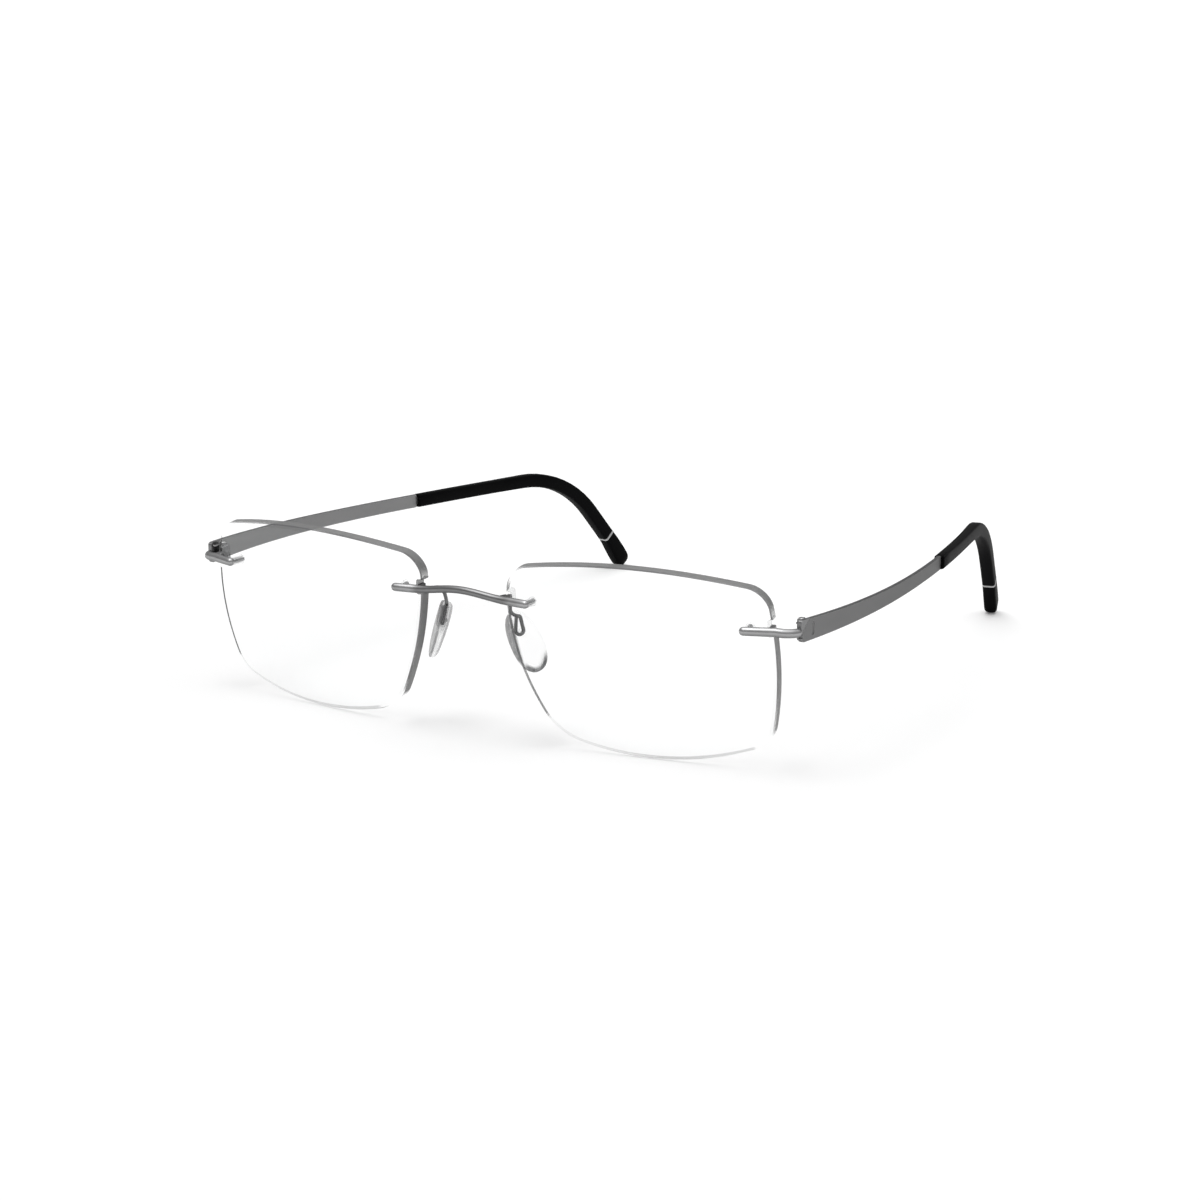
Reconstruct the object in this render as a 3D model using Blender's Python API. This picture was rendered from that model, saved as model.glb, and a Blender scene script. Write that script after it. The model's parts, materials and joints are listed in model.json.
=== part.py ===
"""Rimless eyeglasses: two lenses, a bridge bar, two endpieces with hinges, two temples with soft tips,
and two nose pads on wire arms.

Metres, +Z up. The front faces -Y, the temples run back along +Y, X = 0 is the mirror plane, +X is
the wearer's left. The open glasses stand on the lens bottoms and the temple tips at Z = 0. Working
dimensions are millimetres, with Y measured from the front of the lenses; the root empty shifts the
parts so that their box is centred on Y = 0. Shapes are worked out for the left side and mirrored.
"""

import math
from types import SimpleNamespace

import bpy
import bmesh
from mathutils import Matrix, Vector

for old in list(bpy.data.objects):
    bpy.data.objects.remove(old, do_unlink=True)

MM = 0.001
X_AXIS, Y_AXIS, Z_AXIS = Vector((1, 0, 0)), Vector((0, 1, 0)), Vector((0, 0, 1))

# ---------------------------------------------------------------- main dimensions (mm, radians)
FRAME_MID_Y = 73.590         # half way between the foremost and rearmost points

# lens blank: a meniscus on a shared front curve, cut flat round its edge
LENS_CX = 36.2               # lens centre from the mirror plane
LENS_CZ = 21.216             # lens centre above the table
WRAP = math.radians(7.24)    # each lens turned back at its temple side
TILT = math.radians(8.34)    # lens tops tipped forward
R_FRONT = 90.0
LENS_T = 2.2

# drilled mounts
LENS_HOLE_R = 0.80
PIN_R = 0.50
SEAT_GAP = 0.08              # bar to lens face
PIN_DROP = 0.28              # pins sit a little below the bar's middle
NOSE_PIN_X, TEMPLE_PIN_X = 13.7, 57.4

# bridge bar
BRIDGE_END_X = 14.3
BRIDGE_R_MID, BRIDGE_R_END = 0.72, 0.80
BRIDGE_R_FROM, BRIDGE_R_OVER = 7.0, 3.0    # where the radius starts to grow, and over what length
BRIDGE_END_Z, BRIDGE_ARCH = 28.22, 1.10
BRIDGE_ARCH_HALF = 10.3
BRIDGE_FRONT_Y = -1.75
BRIDGE_LEAVES_X = 9.9        # where the bar leaves the lens face

# endpiece bar over the lens
END_FREE_X, END_EDGE_X = 56.5, 61.7
END_Z = 27.38

# hinge
PIVOT_X, PIVOT_Y = 64.55, 11.7
PIVOT = Vector((PIVOT_X, PIVOT_Y, 27.0))
LUG_R = 0.88
LUG_LOW = (25.15, 26.20)
LUG_HIGH = (28.00, 28.80)
LUG_GAP = 0.08
KNUCKLE = (LUG_LOW[1] + LUG_GAP, LUG_HIGH[0] - LUG_GAP)
HINGE_PIN_R = 0.40
HINGE_BORE_R = HINGE_PIN_R + 0.05
HINGE_BEVEL = 0.06
HINGE_SEGMENTS = 28
BLOCK_INSET = 0.004          # keeps the blocks' faces off those of the round eyes
LUG_INSET = 0.002

# temple strip
STRIP_T = 0.8
STRIP_FRONT_Y = 8.7
SLEEVE_Y = 80.3
# closing line between the endpiece's plate and the temple, in (y, z)
PLATE_FRONT_Y, PLATE_TOP_Z = 8.6, 29.3
SPLIT_LOW, SPLIT_HIGH = (8.92, 27.15), (11.0, PLATE_TOP_Z)
SPLIT_GAP = 0.10

# wire arms of the nose pads
ARM_R = 0.36

# ---------------------------------------------------------------- root and materials
scene = bpy.context.scene
root = bpy.data.objects.new("glasses_root", None)
scene.collection.objects.link(root)
root.location = (0, -FRAME_MID_Y * MM, 0)


def material(name, colour, roughness, metallic=0.0, alpha=1.0, transmission=0.0):
    mat = bpy.data.materials.new(name)
    mat.use_nodes = True
    inputs = mat.node_tree.nodes["Principled BSDF"].inputs
    inputs["Base Color"].default_value = (*colour, 1.0)
    inputs["Roughness"].default_value = roughness
    inputs["Metallic"].default_value = metallic
    inputs["Alpha"].default_value = alpha
    inputs["Transmission Weight"].default_value = transmission
    mat.diffuse_color = (*colour, alpha)
    return mat


MAT_LENS = material("lens_clear", colour=(0.86, 0.88, 0.89), roughness=0.03, alpha=0.35,
                    transmission=1.0)
MAT_METAL = material("satin_metal", colour=(0.42, 0.42, 0.43), roughness=0.38, metallic=0.9)
MAT_STRIP = material("brushed_strip", colour=(0.36, 0.36, 0.37), roughness=0.42, metallic=0.9)
MAT_PIN = material("pin_steel", colour=(0.60, 0.60, 0.61), roughness=0.25, metallic=1.0)
MAT_SOFT = material("soft_black", colour=(0.012, 0.012, 0.013), roughness=0.45)
MAT_RING = material("ring_grey", colour=(0.42, 0.43, 0.44), roughness=0.35)
MAT_CLEAR = material("clear_plastic", colour=(0.80, 0.82, 0.83), roughness=0.12, alpha=0.35,
                     transmission=0.9)
MAT_PAD = material("pad_silicone", colour=(0.82, 0.83, 0.83), roughness=0.25, alpha=0.35,
                   transmission=0.9)


# ---------------------------------------------------------------- objects
def mirrored(point, side):
    return Vector((point[0] * side, point[1], point[2]))


def new_object(name, mesh, mat, origin=(0, 0, 0), side=1, parent=None, sharp=35.0):
    """Turns a left-side bmesh in millimetres into an object; side -1 mirrors it and its origin."""
    if side < 0:
        for vert in mesh.verts:
            vert.co.x = -vert.co.x
    bmesh.ops.remove_doubles(mesh, verts=mesh.verts, dist=0.002)
    bmesh.ops.recalc_face_normals(mesh, faces=mesh.faces)
    origin = mirrored(origin, side)
    for vert in mesh.verts:
        vert.co = (vert.co - origin) * MM
    data = bpy.data.meshes.new(name)
    mesh.to_mesh(data)
    mesh.free()
    if mat is not None:
        data.materials.append(mat)
    data.shade_smooth()
    data.set_sharp_from_angle(angle=math.radians(sharp))
    obj = bpy.data.objects.new(name, data)
    scene.collection.objects.link(obj)
    if parent is None:
        obj.parent = root
        obj.location = origin * MM
    else:
        obj.parent = parent
        obj.location = origin * MM - Vector(parent["at_mm"]) * MM
    return obj


def new_axis(name, point, side):
    """Empty that parts turn about."""
    at = mirrored(point, side)
    axis = bpy.data.objects.new(name, None)
    scene.collection.objects.link(axis)
    axis.parent = root
    axis.location = at * MM
    axis["at_mm"] = list(at)
    return axis


def boolean(host, name, mesh, side, operation):
    """Makes a hidden helper from the mesh and applies it to the host as a boolean modifier."""
    tool = new_object(name, mesh, None, side=side)
    tool.hide_render = True
    tool.display_type = "WIRE"
    modifier = host.modifiers.new(operation.lower() + "_" + tool.name, "BOOLEAN")
    modifier.operation = operation
    modifier.object = tool
    modifier.solver = "EXACT"


def add(host, name, mesh, side):
    boolean(host, "add_" + name, mesh, side, "UNION")


def cut(host, name, mesh, side):
    boolean(host, "cut_" + name, mesh, side, "DIFFERENCE")


# ---------------------------------------------------------------- mesh helpers
def loft(mesh, rings, cap_start=True, closed=False):
    """Skins equal-length point rings with quads; closed joins the last ring to the first."""
    rows = [[mesh.verts.new(point) for point in ring] for ring in rings]
    count = len(rows[0])
    following = rows[1:] + rows[:1] if closed else rows[1:]
    for row, after in zip(rows, following):
        for i in range(count):
            j = (i + 1) % count
            mesh.faces.new((row[i], row[j], after[j], after[i]))
    if not closed:
        if cap_start:
            mesh.faces.new(rows[0][::-1])
        mesh.faces.new(rows[-1])
    return rows


def lofted(rings, closed=False):
    mesh = bmesh.new()
    loft(mesh, rings, closed=closed)
    return mesh


def circle(radius, count, phase=0.0):
    angles = [2 * math.pi * (i + phase) / count for i in range(count)]
    return [(radius * math.cos(angle), radius * math.sin(angle)) for angle in angles]


def rounded_rect(width, height, radius, steps):
    radius = min(radius, width / 2 - 0.01, height / 2 - 0.01)
    points = []
    for x_sign, y_sign, start in ((1, 1, 0), (-1, 1, 90), (-1, -1, 180), (1, -1, 270)):
        x, y = x_sign * (width / 2 - radius), y_sign * (height / 2 - radius)
        for k in range(steps + 1):
            angle = math.radians(start + 90 * k / steps)
            points.append((x + radius * math.cos(angle), y + radius * math.sin(angle)))
    return points


def place(centre, x_dir, y_dir, profile):
    return [centre + x_dir * x + y_dir * y for x, y in profile]


def turned(base, axis, x_dir, y_dir, steps, count):
    """Circles along an axis; steps are (distance from base, radius)."""
    return [place(base + axis * distance, x_dir, y_dir, circle(radius, count))
            for distance, radius in steps]


def spread(start, end, count):
    return [start + (end - start) * i / count for i in range(count + 1)]


def catmull(points, per_span):
    """Catmull-Rom curve through the points."""
    curve = []
    padded = [points[0] * 2 - points[1]] + list(points) + [points[-1] * 2 - points[-2]]
    for before, start, end, after in zip(padded, padded[1:], padded[2:], padded[3:]):
        for k in range(per_span):
            part = k / per_span
            curve.append(0.5 * ((2 * start) + (end - before) * part
                                + (2 * before - 5 * start + 4 * end - after) * part * part
                                + (3 * start - before - 3 * end + after) * part ** 3))
    curve.append(points[-1].copy())
    return curve


DOME_STEPS = 4
DOME_FULL = 0.93             # share of the quarter circle that a dome covers


def tube(path, radii, count, dome_start=True, dome_end=True):
    """A round bar along path. Domes reach about one radius past the path's end points."""
    last = len(path) - 1
    tangents = [(path[min(i + 1, last)] - path[max(i - 1, 0)]).normalized()
                for i in range(len(path))]
    guide = Z_AXIS if abs(tangents[0].z) < 0.9 else X_AXIS
    across = (guide - tangents[0] * guide.dot(tangents[0])).normalized()
    frames = []
    for tangent in tangents:
        across = (across - tangent * across.dot(tangent)).normalized()
        frames.append(across)

    def ring(i, radius, shift=0.0):
        centre = path[i] + tangents[i] * radii[i] * shift
        return place(centre, frames[i], tangents[i].cross(frames[i]), circle(radius, count))

    angles = [math.radians(90 * k / DOME_STEPS * DOME_FULL) for k in range(1, DOME_STEPS + 1)]
    rings = []
    if dome_start:
        rings += [ring(0, radii[0] * math.cos(a), -math.sin(a)) for a in reversed(angles)]
    rings += [ring(i, radius) for i, radius in enumerate(radii)]
    if dome_end:
        rings += [ring(last, radii[last] * math.cos(a), math.sin(a)) for a in angles]
    return lofted(rings)


def rod(start, end, radius, count, bevel=0.0):
    """A straight cylinder, its rims bevelled if asked."""
    start, end = Vector(start), Vector(end)
    span = end - start
    mesh = bmesh.new()
    bmesh.ops.create_cone(mesh, cap_ends=True, segments=count, radius1=radius, radius2=radius,
                          depth=span.length)
    if bevel:
        rims = [edge for edge in mesh.edges if len(edge.link_faces) == 2
                and any(len(face.verts) > 4 for face in edge.link_faces)]
        bmesh.ops.bevel(mesh, geom=rims, offset=bevel, segments=2, affect="EDGES", profile=0.5)
    turn = Z_AXIS.rotation_difference(span.normalized()).to_matrix().to_4x4()
    bmesh.ops.transform(mesh, matrix=Matrix.Translation((start + end) / 2) @ turn,
                        verts=mesh.verts)
    return mesh


def block(low, high, axes=None, at=None, bevel=0.0, steps=2):
    """A box between two corners, along the given axes about the point at."""
    low, high = Vector(low), Vector(high)
    mesh = bmesh.new()
    bmesh.ops.create_cube(mesh, size=1.0)
    for vert in mesh.verts:
        vert.co = Vector([(low[i] + high[i]) / 2 + vert.co[i] * (high[i] - low[i])
                          for i in range(3)])
    if bevel:
        bmesh.ops.bevel(mesh, geom=list(mesh.edges), offset=bevel, segments=steps,
                        affect="EDGES", profile=0.5)
    if axes is not None:
        turn = Matrix(axes).transposed()
        for vert in mesh.verts:
            vert.co = at + turn @ vert.co
    return mesh


# ---------------------------------------------------------------- lens outline
# one row per corner: across and up from the lens centre, rise of the arc to the next corner,
# and how much of the corner is rounded away
LENS_CORNERS = (
    (24.05, -18.15, 2.0, 3.3),      # temple-low
    (24.8, 12.35, 3.25, 3.5),       # temple-high
    (-26.0, 13.1, 0.5, 4.0),        # nose-high
    (-26.2, 1.5, 1.0, 7.1),         # nose-mid
    (-18.0, -18.75, 3.41, 4.6),     # nose-low
)
CORNER_HANDLE = 0.56
ARC_STEPS = 200
FULL_SIDE = 40                      # length of side that gets the full number of points
OUTLINE_MESH = (40, 8)              # points per full side and per corner, for the mesh
OUTLINE_FINE = (60, 12)             # the same, for finding the lens edge


def arc_side(corner, following):
    start, end = Vector((*corner[:2], 0)), Vector((*following[:2], 0))
    rise = corner[2]
    span = end - start
    out = Vector((span.y, -span.x, 0)).normalized()
    parts = [i / ARC_STEPS for i in range(ARC_STEPS + 1)]
    return [start + span * part + out * (4 * rise * part * (1 - part)) for part in parts]


def walk(line, distance):
    """Point and direction at a distance along a line of points."""
    total = 0.0
    for start, end in zip(line, line[1:]):
        step = (end - start).length
        if total + step >= distance:
            return start.lerp(end, (distance - total) / step), (end - start).normalized()
        total += step
    return line[-1], (line[-1] - line[-2]).normalized()


def lens_outline(per_side, per_corner):
    """Five arcs whose corners are rounded by cubic curves."""
    corner_count = len(LENS_CORNERS)
    sides = [arc_side(corner, LENS_CORNERS[(i + 1) % corner_count])
             for i, corner in enumerate(LENS_CORNERS)]
    points = []
    for i, line in enumerate(sides):
        j = (i + 1) % corner_count
        corner_cut = LENS_CORNERS[j][3]
        length = sum((end - start).length for start, end in zip(line, line[1:]))
        first, last = LENS_CORNERS[i][3], length - corner_cut
        count = max(2, round(per_side * (last - first) / FULL_SIDE))
        for k in range(count):
            points.append(walk(line, first + (last - first) * k / (count - 1))[0])
        start, start_dir = walk(line, last)
        end, end_dir = walk(sides[j], corner_cut)
        handle = CORNER_HANDLE * corner_cut
        near, far = start + start_dir * handle, end - end_dir * handle
        for k in range(1, per_corner):
            part = k / per_corner
            points.append(start * (1 - part) ** 3 + near * (3 * part * (1 - part) ** 2)
                          + far * (3 * part * part * (1 - part)) + end * part ** 3)
    return points


# ---------------------------------------------------------------- lens position
# axes of the left lens: across towards the temple, back through the lens, and up
TIP_FORWARD = Matrix.Rotation(TILT, 3, "X")
LENS_ACROSS = TIP_FORWARD @ Vector((math.cos(WRAP), math.sin(WRAP), 0))
LENS_BACK = TIP_FORWARD @ Vector((-math.sin(WRAP), math.cos(WRAP), 0))
LENS_UP = TIP_FORWARD @ Z_AXIS
LENS_CENTRE = Vector((LENS_CX, 0, LENS_CZ))


def lens_point(across, up, depth=0.0):
    sag = R_FRONT - math.sqrt(R_FRONT ** 2 - across * across - up * up)
    return LENS_CENTRE + LENS_ACROSS * across + LENS_UP * up + LENS_BACK * (sag + depth)


def lens_normal(across, up):
    """Unit normal of the front face, pointing back into the lens."""
    back = math.sqrt(R_FRONT ** 2 - across * across - up * up)
    return (-LENS_ACROSS * across - LENS_UP * up + LENS_BACK * back).normalized()


def lens_spot(x, z):
    """The (across, up) of the front-face point that has this x and z."""
    across, up = x - LENS_CX, z - LENS_CZ
    for _ in range(25):
        point = lens_point(across, up)
        across += (x - point.x) / math.cos(WRAP)
        up += (z - point.z) / math.cos(TILT)
    return across, up


def edge_across(up, temple_side):
    """Where the outline crosses this height, on the temple or the nose side."""
    points = lens_outline(*OUTLINE_FINE)
    crossings = []
    for start, end in zip(points, points[1:] + points[:1]):
        if (start.y - up) * (end.y - up) <= 0 and abs(end.y - start.y) > 1e-9:
            part = (up - start.y) / (end.y - start.y)
            crossings.append(start.x + (end.x - start.x) * part)
    return max(crossings) if temple_side else min(crossings)


def bar_over_lens(x, z, radius):
    """Centre of a bar of this radius resting in front of the lens."""
    spot = lens_spot(x, z)
    return lens_point(*spot) - lens_normal(*spot) * (radius + SEAT_GAP)


# ---------------------------------------------------------------- drilled mounts
BUSH_R = LENS_HOLE_R - 0.06
BUSH_BORE_R = PIN_R + 0.06
BUSH_FLANGE_R = 0.95
BUSH_FLANGE_T = 0.35
BUSH_CHAMFER = 0.12
BUSH_FRONT = 0.02                   # depths behind the lens's front face
BUSH_BACK = LENS_T + 0.10
BUSH_END = BUSH_BACK + BUSH_FLANGE_T
HOLE_OVER = 2.0                     # drill past each face
PIN_FRONT = 0.7                     # pin's reach in front of the lens face
PIN_BEHIND = 0.12                   # and behind the bush
PIN_BEVEL = 0.12

# edge notch and tab: reach into and out of the lens edge, below the bar's middle, and in front
NOTCH_IN, NOTCH_OUT, NOTCH_DOWN, NOTCH_OVER = 0.95, 2.0, 1.05, 1.5
TAB_IN, TAB_OUT, TAB_DOWN, TAB_FRONT = 0.80, 0.12, 0.85, 0.75
NOSE_EDGE_X = 10.0                  # about where the bridge bar crosses the lens edge


def mount(out, pin_x, edge_x, bar_z, tab_up, notch_up):
    """Points and axes of one mount; tab_up and notch_up are tops above the bar's middle."""
    hole = lens_spot(pin_x, bar_z - PIN_DROP)
    edge_up = lens_spot(edge_x, bar_z)[1]
    return SimpleNamespace(
        hole=lens_point(*hole),
        normal=lens_normal(*hole),
        edge=lens_point(edge_across(edge_up, out > 0), edge_up),
        axes=(LENS_ACROSS * out, LENS_UP, LENS_BACK),
        tab_up=tab_up,
        notch_up=notch_up,
    )


MOUNTS = {
    "nose": mount(out=-1, pin_x=NOSE_PIN_X, edge_x=NOSE_EDGE_X, bar_z=BRIDGE_END_Z,
                  tab_up=0.75, notch_up=1.49),
    "temple": mount(out=1, pin_x=TEMPLE_PIN_X, edge_x=END_EDGE_X, bar_z=END_Z,
                    tab_up=0.80, notch_up=1.89),
}


def add_mount(host, side, where, tag):
    """Adds the lens pin and the edge tab of one drilled mount to a bar."""
    spot = MOUNTS[where]
    pin = rod(spot.hole - spot.normal * PIN_FRONT,
              spot.hole + spot.normal * (BUSH_END + PIN_BEHIND), PIN_R, 18, bevel=PIN_BEVEL)
    add(host, "pin_%s_%s" % (where, tag), pin, side)
    tab = block((-TAB_IN, -TAB_DOWN, -TAB_FRONT), (TAB_OUT, spot.tab_up, LENS_T * 0.5),
                spot.axes, spot.edge, bevel=0.1, steps=1)
    add(host, "tab_%s_%s" % (where, tag), tab, side)


def build_bush(side, where, tag):
    """Clear plastic sleeve in a lens hole, with a flange behind the lens."""
    spot = MOUNTS[where]
    x_dir = spot.normal.orthogonal().normalized()
    steps = (
        (BUSH_FRONT, BUSH_R),
        (BUSH_BACK, BUSH_R),
        (BUSH_BACK, BUSH_FLANGE_R),
        (BUSH_BACK + BUSH_FLANGE_T * 0.6, BUSH_FLANGE_R),
        (BUSH_END, BUSH_FLANGE_R - BUSH_CHAMFER),
        (BUSH_END, BUSH_BORE_R),
        (BUSH_FRONT, BUSH_BORE_R),
    )
    rings = turned(spot.hole, spot.normal, x_dir, spot.normal.cross(x_dir), steps, 24)
    new_object("lens_bush_%s_%s" % (where, tag), lofted(rings, closed=True), MAT_CLEAR,
               spot.hole, side)


# ---------------------------------------------------------------- lenses
LENS_RINGS = 4


def lens_blank():
    """Front and back faces as rings of triangles about their centres, and a flat edge."""
    outline = lens_outline(*OUTLINE_MESH)
    count = len(outline)
    mesh = bmesh.new()
    front, back = [], []
    for k in range(1, LENS_RINGS + 1):
        scale = k / LENS_RINGS
        for rows, depth in ((front, 0.0), (back, LENS_T)):
            rows.append([mesh.verts.new(lens_point(point.x * scale, point.y * scale, depth))
                         for point in outline])
    front_centre = mesh.verts.new(lens_point(0, 0))
    back_centre = mesh.verts.new(lens_point(0, 0, LENS_T))
    for rows, centre in ((front, front_centre), (back, back_centre)):
        for i in range(count):
            j = (i + 1) % count
            mesh.faces.new((centre, rows[0][i], rows[0][j]))
            for inner, outer in zip(rows, rows[1:]):
                mesh.faces.new((inner[i], outer[i], outer[j]))
                mesh.faces.new((inner[i], outer[j], inner[j]))
    for i in range(count):
        j = (i + 1) % count
        mesh.faces.new((front[-1][i], back[-1][i], back[-1][j], front[-1][j]))
    return mesh


def build_lens(side, tag):
    name = "lens_" + tag
    lens = new_object(name, lens_blank(), MAT_LENS, LENS_CENTRE, side)
    for where, spot in MOUNTS.items():
        drill = rod(spot.hole - spot.normal * HOLE_OVER,
                    spot.hole + spot.normal * (LENS_T + HOLE_OVER), LENS_HOLE_R, 20)
        cut(lens, "hole_%s_%s" % (where, name), drill, side)
        notch = block((-NOTCH_IN, -NOTCH_DOWN, -NOTCH_OVER),
                      (NOTCH_OUT, spot.notch_up, LENS_T + NOTCH_OVER),
                      spot.axes, spot.edge, bevel=0.2)
        cut(lens, "notch_%s_%s" % (where, name), notch, side)


# ---------------------------------------------------------------- bridge
BRIDGE_SPANS = 36


def bridge_centre(x):
    """Centre and radius of the bridge bar at x."""
    away = abs(x)
    arch = (math.cos(math.pi * min(away, BRIDGE_ARCH_HALF) / BRIDGE_ARCH_HALF) + 1) / 2
    z = BRIDGE_END_Z + BRIDGE_ARCH * arch
    grown = min(max((away - BRIDGE_R_FROM) / BRIDGE_R_OVER, 0), 1)
    radius = BRIDGE_R_MID + (BRIDGE_R_END - BRIDGE_R_MID) * grown
    y = bar_over_lens(max(away, BRIDGE_LEAVES_X), z, radius).y
    if away < BRIDGE_LEAVES_X:
        forward = (math.cos(math.pi * away / BRIDGE_LEAVES_X) + 1) / 2
        y += (BRIDGE_FRONT_Y - y) * forward
    return Vector((x, y, z)), radius


def build_bridge():
    xs = [-BRIDGE_END_X + 2 * BRIDGE_END_X * i / BRIDGE_SPANS for i in range(BRIDGE_SPANS + 1)]
    path, radii = zip(*[bridge_centre(x) for x in xs])
    origin = (0, BRIDGE_FRONT_Y, BRIDGE_END_Z + BRIDGE_ARCH)
    bar = new_object("bridge_bar", tube(path, radii, 18), MAT_METAL, origin, sharp=50)
    for side, tag in ((1, "left"), (-1, "right")):
        add_mount(bar, side, "nose", tag)


# ---------------------------------------------------------------- temple curve
REAR_Y = 80.0                       # the rear curve takes over from here
BOW_X, BOW_Y = 67.33, 32.5          # widest point of the bow
BOW_K2, BOW_K3 = 0.0027, 0.000013   # its square and cube terms
REAR_SLOPE, REAR_K2 = 0.172, 0.0008
EASE_Y, REAR_EASE = 120.0, 0.004    # the inward curve slackens behind EASE_Y
# strip height over the table: start, slope, square term, and the y they count from
STRIP_Z0, STRIP_Z1, STRIP_Z2, STRIP_Z_FROM = 27.3, 0.0105, 0.000084, 4.0
REAR_PITCH = math.radians(1.1)
PLATE_LINE = (8.5, 12.0)            # the hinge plate's straight line meets the curve at these y


def temple_x(y):
    bow = min(y, REAR_Y) - BOW_Y
    rear = max(0.0, y - REAR_Y)
    return (BOW_X - BOW_K2 * bow * bow + BOW_K3 * bow ** 3 - REAR_SLOPE * rear
            - REAR_K2 * rear ** 2 + REAR_EASE * max(0.0, y - EASE_Y) ** 1.5)


def strip_z(y):
    front = min(y, REAR_Y) - STRIP_Z_FROM
    return (STRIP_Z0 - STRIP_Z1 * front - STRIP_Z2 * front ** 2
            - math.tan(REAR_PITCH) * max(0.0, y - REAR_Y))


def strip_axes(y):
    """Directions along the strip and out from its outer face."""
    along = Vector(((temple_x(y + 0.1) - temple_x(y - 0.1)) / 0.2, 1.0, 0)).normalized()
    return along, along.cross(Z_AXIS).normalized()


def plate_x(y):
    """Mid-thickness of the hinge plate and of the strip's straight front."""
    front, back = PLATE_LINE
    return (temple_x(front)
            + (temple_x(back) - temple_x(front)) * (y - front) / (back - front))


def plate_slab(outline, inner, outer):
    """A slab of outline (y, z), from inner to outer across the plate's middle."""
    mesh = bmesh.new()
    near, far = [[mesh.verts.new((plate_x(y) + shift, y, z)) for y, z in outline]
                 for shift in (inner, outer)]
    count = len(outline)
    mesh.faces.new(near)
    mesh.faces.new(far[::-1])
    for i in range(count):
        j = (i + 1) % count
        mesh.faces.new((near[i], far[i], far[j], near[j]))
    return mesh


# ---------------------------------------------------------------- endpiece and hinge
END_R_FREE, END_R_EDGE, END_R_BACK = 0.82, 0.86, 0.84
END_SPANS = 5                       # over the lens
BEND_STEPS = 5                      # between bend points
R_BACK_STEPS = 15                   # steps of the bend over which the radius changes
# the bar past the lens edge, turning back into the hinge plate
BEND_POINTS = (
    (63.5, 6.15, 27.17),
    (64.6, 6.95, 27.10),
    (65.2, 7.9, 27.04),
    (65.60, 8.72, 27.02),
)
END_TAPER = (0.985, 0.94, 0.84, 0.62)   # shrinks the last rings
PLATE_LOW_Z = 26.75
# plate outline (y, z): slanted back edge, rounded upper front corner
PLATE_OUTLINE = (
    (PLATE_FRONT_Y, PLATE_LOW_Z), (SPLIT_LOW[0], PLATE_LOW_Z), SPLIT_LOW, SPLIT_HIGH,
    (9.15, PLATE_TOP_Z), (8.86, 29.22), (8.67, 29.03), (PLATE_FRONT_Y, 28.75),
)
# blocks that carry the lugs: name, low corner, high corner
HINGE_BLOCKS = (
    ("stem", (64.50, 7.9, 26.66), (65.05, 10.5, 27.34)),
    ("roof", (64.62, 9.0, LUG_HIGH[1] - 0.31), (plate_x(9.4) - 0.25, 10.5, LUG_HIGH[1])),
    ("wall", (64.50, 10.32, LUG_LOW[0]), (PIVOT_X + 0.72, 10.74, LUG_HIGH[1])),
)
LUG_ARM_X = (PIVOT_X - 0.30, PIVOT_X + 0.66)
LUG_ARM_Y = 10.42
BORE_Z = (24, 30.5)                 # clear of the knuckles at both ends


def endpiece_bar():
    path, radii = [], []
    for k in range(END_SPANS + 1):
        part = k / END_SPANS
        radii.append(END_R_FREE + (END_R_EDGE - END_R_FREE) * part)
        x = END_FREE_X + (END_EDGE_X - END_FREE_X) * part
        path.append(bar_over_lens(x, END_Z, radii[-1]))
    tail = catmull([path[-1]] + [Vector(point) for point in BEND_POINTS], BEND_STEPS)[1:]
    radii += [END_R_EDGE + (END_R_BACK - END_R_EDGE) * min((i + 1) / R_BACK_STEPS, 1)
              for i in range(len(tail))]
    for k, factor in enumerate(END_TAPER, -len(END_TAPER)):
        radii[k] *= factor
    return tube(path + tail, radii, 18, dome_end=False)


def hinge_rod(z_range, radius, count=HINGE_SEGMENTS, inset=0.0, bevel=0.0):
    low, high = z_range
    return rod((PIVOT_X, PIVOT_Y, low + inset), (PIVOT_X, PIVOT_Y, high - inset), radius, count,
               bevel)


def cut_bore(host, name, side):
    cut(host, "bore_" + name, hinge_rod(BORE_Z, HINGE_BORE_R, count=20), side)


def build_endpiece(side, tag):
    """Bar over the lens and round to the hinge, with its plate, wall and two lugs."""
    bar = new_object("endpiece_" + tag, endpiece_bar(), MAT_METAL, PIVOT, side, sharp=50)
    add_mount(bar, side, "temple", tag)
    plate = plate_slab(PLATE_OUTLINE, -STRIP_T / 2, STRIP_T / 2 - 0.01)
    add(bar, "plate_" + tag, plate, side)
    for name, low, high in HINGE_BLOCKS:
        add(bar, "%s_%s" % (name, tag), block(low, high, bevel=0.06, steps=1), side)
    for name, z_range in (("low", LUG_LOW), ("high", LUG_HIGH)):
        arm = block((LUG_ARM_X[0], LUG_ARM_Y, z_range[0] + BLOCK_INSET),
                    (LUG_ARM_X[1], PIVOT_Y, z_range[1] - BLOCK_INSET))
        add(bar, "arm_%s_%s" % (name, tag), arm, side)
        lug = hinge_rod(z_range, LUG_R, inset=LUG_INSET, bevel=HINGE_BEVEL)
        add(bar, "lug_%s_%s" % (name, tag), lug, side)
    cut_bore(bar, "endpiece_" + tag, side)


HEAD_Z = LUG_HIGH[1] + 0.05         # underside of the hinge pin's head
# hinge pin, upwards: (z, radius)
HINGE_PIN_STEPS = (
    (24.98, HINGE_PIN_R - 0.12),
    (25.12, HINGE_PIN_R),
    (HEAD_Z, HINGE_PIN_R),
    (HEAD_Z, 0.66),
    (HEAD_Z + 0.15, 0.66),
    (HEAD_Z + 0.25, 0.55),
    (HEAD_Z + 0.29, 0.36),
)
PIN_SLOT_HALF_W, PIN_SLOT_FLOOR = 0.11, 0.13


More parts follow.
